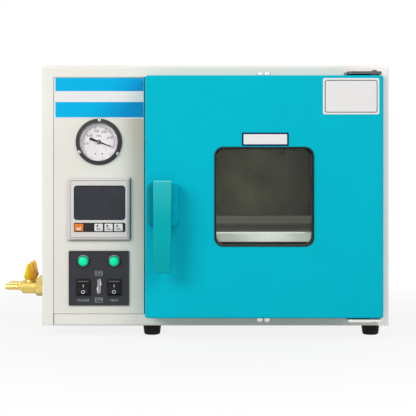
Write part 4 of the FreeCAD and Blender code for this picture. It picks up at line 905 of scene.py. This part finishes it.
def addBoltCaps():
    # the caps of the bolts that hold the window's holder, seen over and under the door
    look = {"radius": 4.9, "tall": 3.2, "dome": 2.4, "rings": 3, "ring": 0.22, "first": 1.8, "rounding": 0.5,
            "y": -161.0, "across": (106.8, 117.6), "sunkTop": 3.0, "sunkFoot": 1.4, "sides": 32, "smooth": 50}
    low, high = boxOf("door_bolts")
    master = roundBlank(look["sides"], look["radius"], look["tall"])
    startEdit()
    pickTop()
    for ring in range(look["rings"]):
        drawTop(look["radius"] * look["ring"], look["dome"] / (ring + look["first"]))
    pickRim(look["tall"])
    bpy.ops.mesh.bevel(offset=look["rounding"] * mm, segments=2)
    endEdit()
    bpy.ops.object.shade_smooth_by_angle(angle=math.radians(look["smooth"]))
    addFinishes(master, "capSteel")
    caps = []
    for x in look["across"]:
        for z, turn in ((high.z - look["sunkTop"], upright), (low.z + look["sunkFoot"], hanging)):
            caps.append(fixPlace(copyPiece(master), turn, Vector((x, look["y"], z)) * mm))
    removePiece(master)
    settle(caps, "bolt_caps", "door")
    print("bolt caps set")


# Dial: scale, numbers, unit, two fixing dots and the needle's hub

def makeTicks(look, count, length, width):
    # one bar, spun as separate copies round the dial
    clearSelection()
    bpy.ops.mesh.primitive_cube_add(size=1, location=((look["scale"] - length / 2) * mm, 0, 0))
    ticks = bpy.context.object
    ticks.scale = (length * mm, width * mm, look["ink"] * mm)
    bpy.ops.object.transform_apply()
    startEdit()
    bpy.ops.mesh.spin(steps=count, dupli=True, angle=math.radians(look["sweep"]), center=(0, 0, 0),
                      axis=(0, 0, -1))
    endEdit()
    return ticks


def makeScaleLine(look):
    clearSelection()
    bpy.ops.mesh.primitive_circle_add(vertices=96, radius=look["scale"] * mm)
    line = bpy.context.object
    startEdit()
    bpy.ops.mesh.extrude_edges_move()
    share = 1 - look["line"] / look["scale"]
    bpy.ops.transform.resize(value=(share, share, 1), center_override=(0, 0, 0))

    def inGap(face):
        place = face.calc_center_median()
        return look["sweep"] < math.degrees(math.atan2(place.y, place.x)) % 360 < 360

    pickParts("FACE", inGap)
    bpy.ops.mesh.delete(type="FACE")
    bpy.ops.mesh.select_all(action="SELECT")
    bpy.ops.mesh.normals_make_consistent(inside=False)
    endEdit()
    thicken(line, look["ink"])
    return line


def addDial():
    look = {"scale": 23.8, "line": 0.3, "ink": 0.1, "sweep": 210.0, "zero": -21.0,
            "ticks": ((50, 1.8, 0.3), (10, 2.6, 0.5), (5, 3.6, 0.8)),       # how many, how long, how wide
            "numbers": ("0", "-0.02", "-0.04", "-0.06", "-0.08", "-0.1"), "numberOut": 17.0,
            "numberSize": 4.6, "unitSize": 4.4, "unitUp": 8.6}
    middle = middleOf("gauge_dial")
    level = frontOf("gauge_dial") - look["ink"] / 2
    marks = [makeScaleLine(look)] + [makeTicks(look, *tick) for tick in look["ticks"]]
    for mark in marks:
        addFinishes(mark, "dialInk")
        turnFlat(mark, look["zero"])
        placeFlat(mark, middle.x, level, middle.z)
    for number, body in enumerate(look["numbers"]):
        turn = math.radians(look["zero"] + look["sweep"] * number / (len(look["numbers"]) - 1))
        word = makeWord(body, look["numberSize"], look["ink"], "dialInk")
        marks.append(placeFlat(word, middle.x + look["numberOut"] * math.cos(turn), level,
                               middle.z + look["numberOut"] * math.sin(turn)))
    unit = makeWord("MPa", look["unitSize"], look["ink"], "dialInk")
    marks.append(placeFlat(unit, middle.x, level, middle.z + look["unitUp"]))
    settle(marks, "dial_marks", "cabinet")
    addDialDots(middle, level)
    addNeedleHub(middle)
    print("dial printed")


def addDialDots(middle, level):
    look = {"radius": 0.95, "thick": 0.3, "flat": 0.35, "sunk": 0.08, "side": 5.1, "down": 17.9}
    clearSelection()
    bpy.ops.mesh.primitive_cylinder_add(vertices=20, radius=look["radius"] * mm, depth=look["thick"] * mm)
    master = bpy.context.object
    startEdit()
    pickTop()
    drawTop(look["radius"] * look["flat"], -look["sunk"])
    endEdit()
    addFinishes(master, "dialInk")
    dots = [placeFlat(copyPiece(master), middle.x + side, level, middle.z - look["down"])
            for side in (-look["side"], look["side"])]
    removePiece(master)
    settle(dots, "dial_dots", "cabinet")


def addNeedleHub(middle):
    # the bright end of the spindle in the middle of the needle
    look = {"wide": 2.4, "corner": 1.15, "thick": 0.06}
    hub = makeBar(look["wide"], look["wide"], look["corner"], look["thick"], "brightSteel")
    placeFlat(hub, middle.x, frontOf("gauge_needle"), middle.z)
    settle([hub], "needle_hub", "needle")


# Marks on the keys, the controller, the lamps, the switch plate and the rockers

def makeArrow(size, thick, finish):
    # triangle that points up, as wide as it is high, with its corners rounded off
    rounding = 0.08
    wide, high = 0.866, 0.75        # what the first triangle measures
    clearSelection()
    bpy.ops.mesh.primitive_circle_add(vertices=3, radius=0.5, fill_type="NGON")
    arrow = bpy.context.object
    arrow.scale = (size / wide * mm, size / high * mm, 1)
    bpy.ops.object.transform_apply()
    startEdit()
    bpy.ops.mesh.bevel(affect="VERTICES", offset=size * rounding * mm, segments=2)
    endEdit()
    thicken(arrow, thick)
    addFinishes(arrow, finish)
    return arrow


def addKeyMarks():
    look = {"thick": 0.1, "arrow": 3.6, "arrowUp": 2.4, "arrowSide": -2.0, "corner": 0.2, "bar": 0.8,
            "bars": ((8.0, 0.4, -3.4), (6.0, -0.6, -1.0))}      # how long, how far right, how far up
    for key, turn in (("shift_key", 90.0), ("down_key", 180.0), ("up_key", 0.0)):
        middle = middleOf(key)
        face = frontOf(key)
        arrow = turnFlat(makeArrow(look["arrow"], look["thick"], "printBlack"), turn)
        parts = [placeFlat(arrow, middle.x + look["arrowSide"], face, middle.z + look["arrowUp"])]
        for long, side, rise in look["bars"]:
            bar = makeBar(long, look["bar"], look["corner"], look["thick"], "printBlack")
            parts.append(placeFlat(bar, middle.x + side, face, middle.z + rise))
        settle(parts, f"{key}_mark", key)
    addSetMark()
    print("keys marked")


def addSetMark():
    look = {"thick": 0.1, "foot": (6.6, 2.2, 0.5), "footUp": -2.4, "tab": 2.0, "tabCorner": 0.4,
            "tabFoot": -1.5, "tabs": ((-2.3, 1.4), (2.3, 2.4))}     # how far right, how high
    middle = middleOf("set_key")
    face = frontOf("set_key")
    foot = makeBar(*look["foot"], look["thick"], "printWhite")
    parts = [placeFlat(foot, middle.x, face, middle.z + look["footUp"])]
    for side, tall in look["tabs"]:
        tab = makeBar(look["tab"], tall, look["tabCorner"], look["thick"], "printWhite")
        parts.append(placeFlat(tab, middle.x + side, face, middle.z + look["tabFoot"] + tall / 2))
    settle(parts, "set_key_mark", "set_key")


def addControllerLines():
    # a grey line in the frame's face where its raised part steps down, as painted shade, and the dark border
    # of the screen, which ends over the key strip
    look = {"thick": 0.08, "seam": 86.4, "seamCorner": 1.5, "seamLine": 0.8, "seamSide": 0.25,
            "line": 0.9, "corner": 4.5, "stripHigh": 13.4, "overStrip": 4.2}
    middle = middleOf("controller_bezel")
    seam = makeOutline(look["seam"], look["seam"], look["seamCorner"], look["seamLine"], look["thick"],
                       "seamGrey")
    placeFlat(seam, middle.x + look["seamSide"], frontOf("controller_bezel"), middle.z)
    settle([seam], "bezel_seam", "cabinet")
    low, high = boxOf("controller_lens")
    foot = middleOf("set_key").z + look["stripHigh"] / 2 + look["overStrip"]
    tall = high.z - foot
    screen = makeOutline(high.x - low.x, tall, look["corner"], look["line"], look["thick"], "screenEdge")
    placeFlat(screen, (high.x + low.x) / 2, low.y, foot + tall / 2)
    settle([screen], "screen_border", "cabinet")
    print("controller lined")


def addLampHighlights():
    # a dark bead round each lamp holder's front, flattened, whose upper arc is painted light as a highlight
    look = {"ring": 8.9, "bead": 0.42, "flat": 0.7, "deep": 0.55}
    low, high = boxOf("lamp_bezels")
    reach = (high.z - low.z) / 2
    clearSelection()
    bpy.ops.mesh.primitive_torus_add(major_segments=64, minor_segments=10, major_radius=look["ring"] * mm,
                                     minor_radius=look["bead"] * mm)
    master = bpy.context.object
    startEdit()
    bpy.ops.transform.resize(value=(1, 1, look["flat"]), center_override=(0, 0, 0))
    endEdit()
    bpy.ops.object.shade_smooth()
    addFinishes(master, "lampEdge")
    rings = [placeFlat(copyPiece(master), x, low.y + look["deep"], (low.z + high.z) / 2)
             for x in (low.x + reach, high.x - reach)]
    removePiece(master)
    settle(rings, "lamp_edges", "cabinet")
    print("lamp edges set")


def addPlateMarks():
    look = {"thick": 0.1, "rim": 0.5, "boxWide": 11.6, "boxHigh": 7.4, "corner": 0.5, "line": 0.5,
            "onUp": 7.2, "offUp": -32.9, "letters": 6.2, "words": 5.2, "wordsUp": -33.6, "wordsIn": 7.5}
    middle = middleOf("switch_plate")
    face = frontOf("switch_plate") + look["rim"]        # the plate's face lies behind its rim
    low, high = boxOf("lamp_lenses")
    marks = []
    for body, rise in (("ON", look["onUp"]), ("OFF", look["offUp"])):
        box = makeOutline(look["boxWide"], look["boxHigh"], look["corner"], look["line"], look["thick"],
                          "printGrey")
        word = makeWord(body, look["letters"], look["thick"], "printGrey")
        marks += [placeFlat(part, middle.x, face, middle.z + rise) for part in (box, word)]
    for body, x in (("POWER", low.x + look["wordsIn"]), ("HEAT", high.x - look["wordsIn"])):
        word = makeWord(body, look["words"], look["thick"], "printGrey")
        marks.append(placeFlat(word, x, face, middle.z + look["wordsUp"]))
    settle(marks, "plate_marks", "cabinet")
    addWayArrows(middle, face)
    print("switch plate marked")


def addWayArrows(middle, face):
    # half arrows up and down: a bar whose upper side is drawn out into a barb, copied and turned
    look = {"thick": 0.1, "long": 21.4, "wide": 1.3, "barbLong": 9.5, "barb": 1.7, "point": 0.08,
            "apart": 2.8, "side": 0.3, "up": -12.2, "slip": 0.5}
    arrow = flatPlate(look["wide"], look["long"], 0)
    side = look["wide"] / 2 * mm
    notch = look["long"] / 2 * mm - look["barbLong"] * mm
    slack = 0.1 * mm
    startEdit()
    bpy.ops.mesh.bisect(plane_co=(0, notch, 0), plane_no=(0, 1, 0))
    pickParts("EDGE", lambda edge: all(corner.co.x > side - slack and corner.co.y > notch - slack
                                       for corner in edge.verts))
    bpy.ops.mesh.extrude_edges_move(TRANSFORM_OT_translate={"value": (look["barb"] * mm, 0, 0)})
    bpy.ops.transform.resize(value=(1, look["point"], 1), center_override=(side, notch, 0))
    endEdit()
    thicken(arrow, look["thick"])
    addFinishes(arrow, "printSilver")
    second = turnFlat(copyPiece(arrow), 180.0)
    half = look["apart"] / 2
    pair = [placeFlat(arrow, middle.x + half + look["side"], face, middle.z + look["up"] + look["slip"]),
            placeFlat(second, middle.x - half + look["side"], face, middle.z + look["up"] - look["slip"])]
    settle(pair, "way_arrows", "cabinet")


def addRockerMarks():
    look = {"thick": 0.12, "bar": 0.9, "barLong": 4.1, "barCorner": 0.2, "barUp": 2.6, "ring": 5.4,
            "ringCorner": 2.65, "ringLine": 0.8, "ringUp": -6.4}
    level = middleOf("rocker_housings").z
    for rocker in ("power_rocker", "heater_rocker"):
        x = middleOf(rocker).x
        bar = makeBar(look["bar"], look["barLong"], look["barCorner"], look["thick"], "printWhite")
        ring = makeOutline(look["ring"], look["ring"], look["ringCorner"], look["ringLine"], look["thick"],
                           "printWhite")
        parts = [layOn(rocker, bar, x, level + look["barUp"]), layOn(rocker, ring, x, level + look["ringUp"])]
        settle(parts, f"{rocker}_marks", rocker)
    print("rockers marked")


def addShelfHighlight():
    # a painted highlight: a bright bar that glows a little along the upper edge of the shelf's front lip
    look = {"long": 190.0, "high": 1.8, "corner": 0.5, "thick": 0.1, "up": 13.8}
    low, high = boxOf("shelf")
    line = makeBar(look["long"], look["high"], look["corner"], look["thick"], "lipSteel")
    placeFlat(line, (low.x + high.x) / 2, low.y, low.z + look["up"])
    settle([line], "shelf_line", "cabinet")
    print("shelf edge set")


addStudio()
dressNodes()
addHeaderFilm()
addDoorLabels()
addScrews()
addBoltCaps()
addDial()
addKeyMarks()
addControllerLines()
addLampHighlights()
addPlateMarks()
addRockerMarks()
addShelfHighlight()
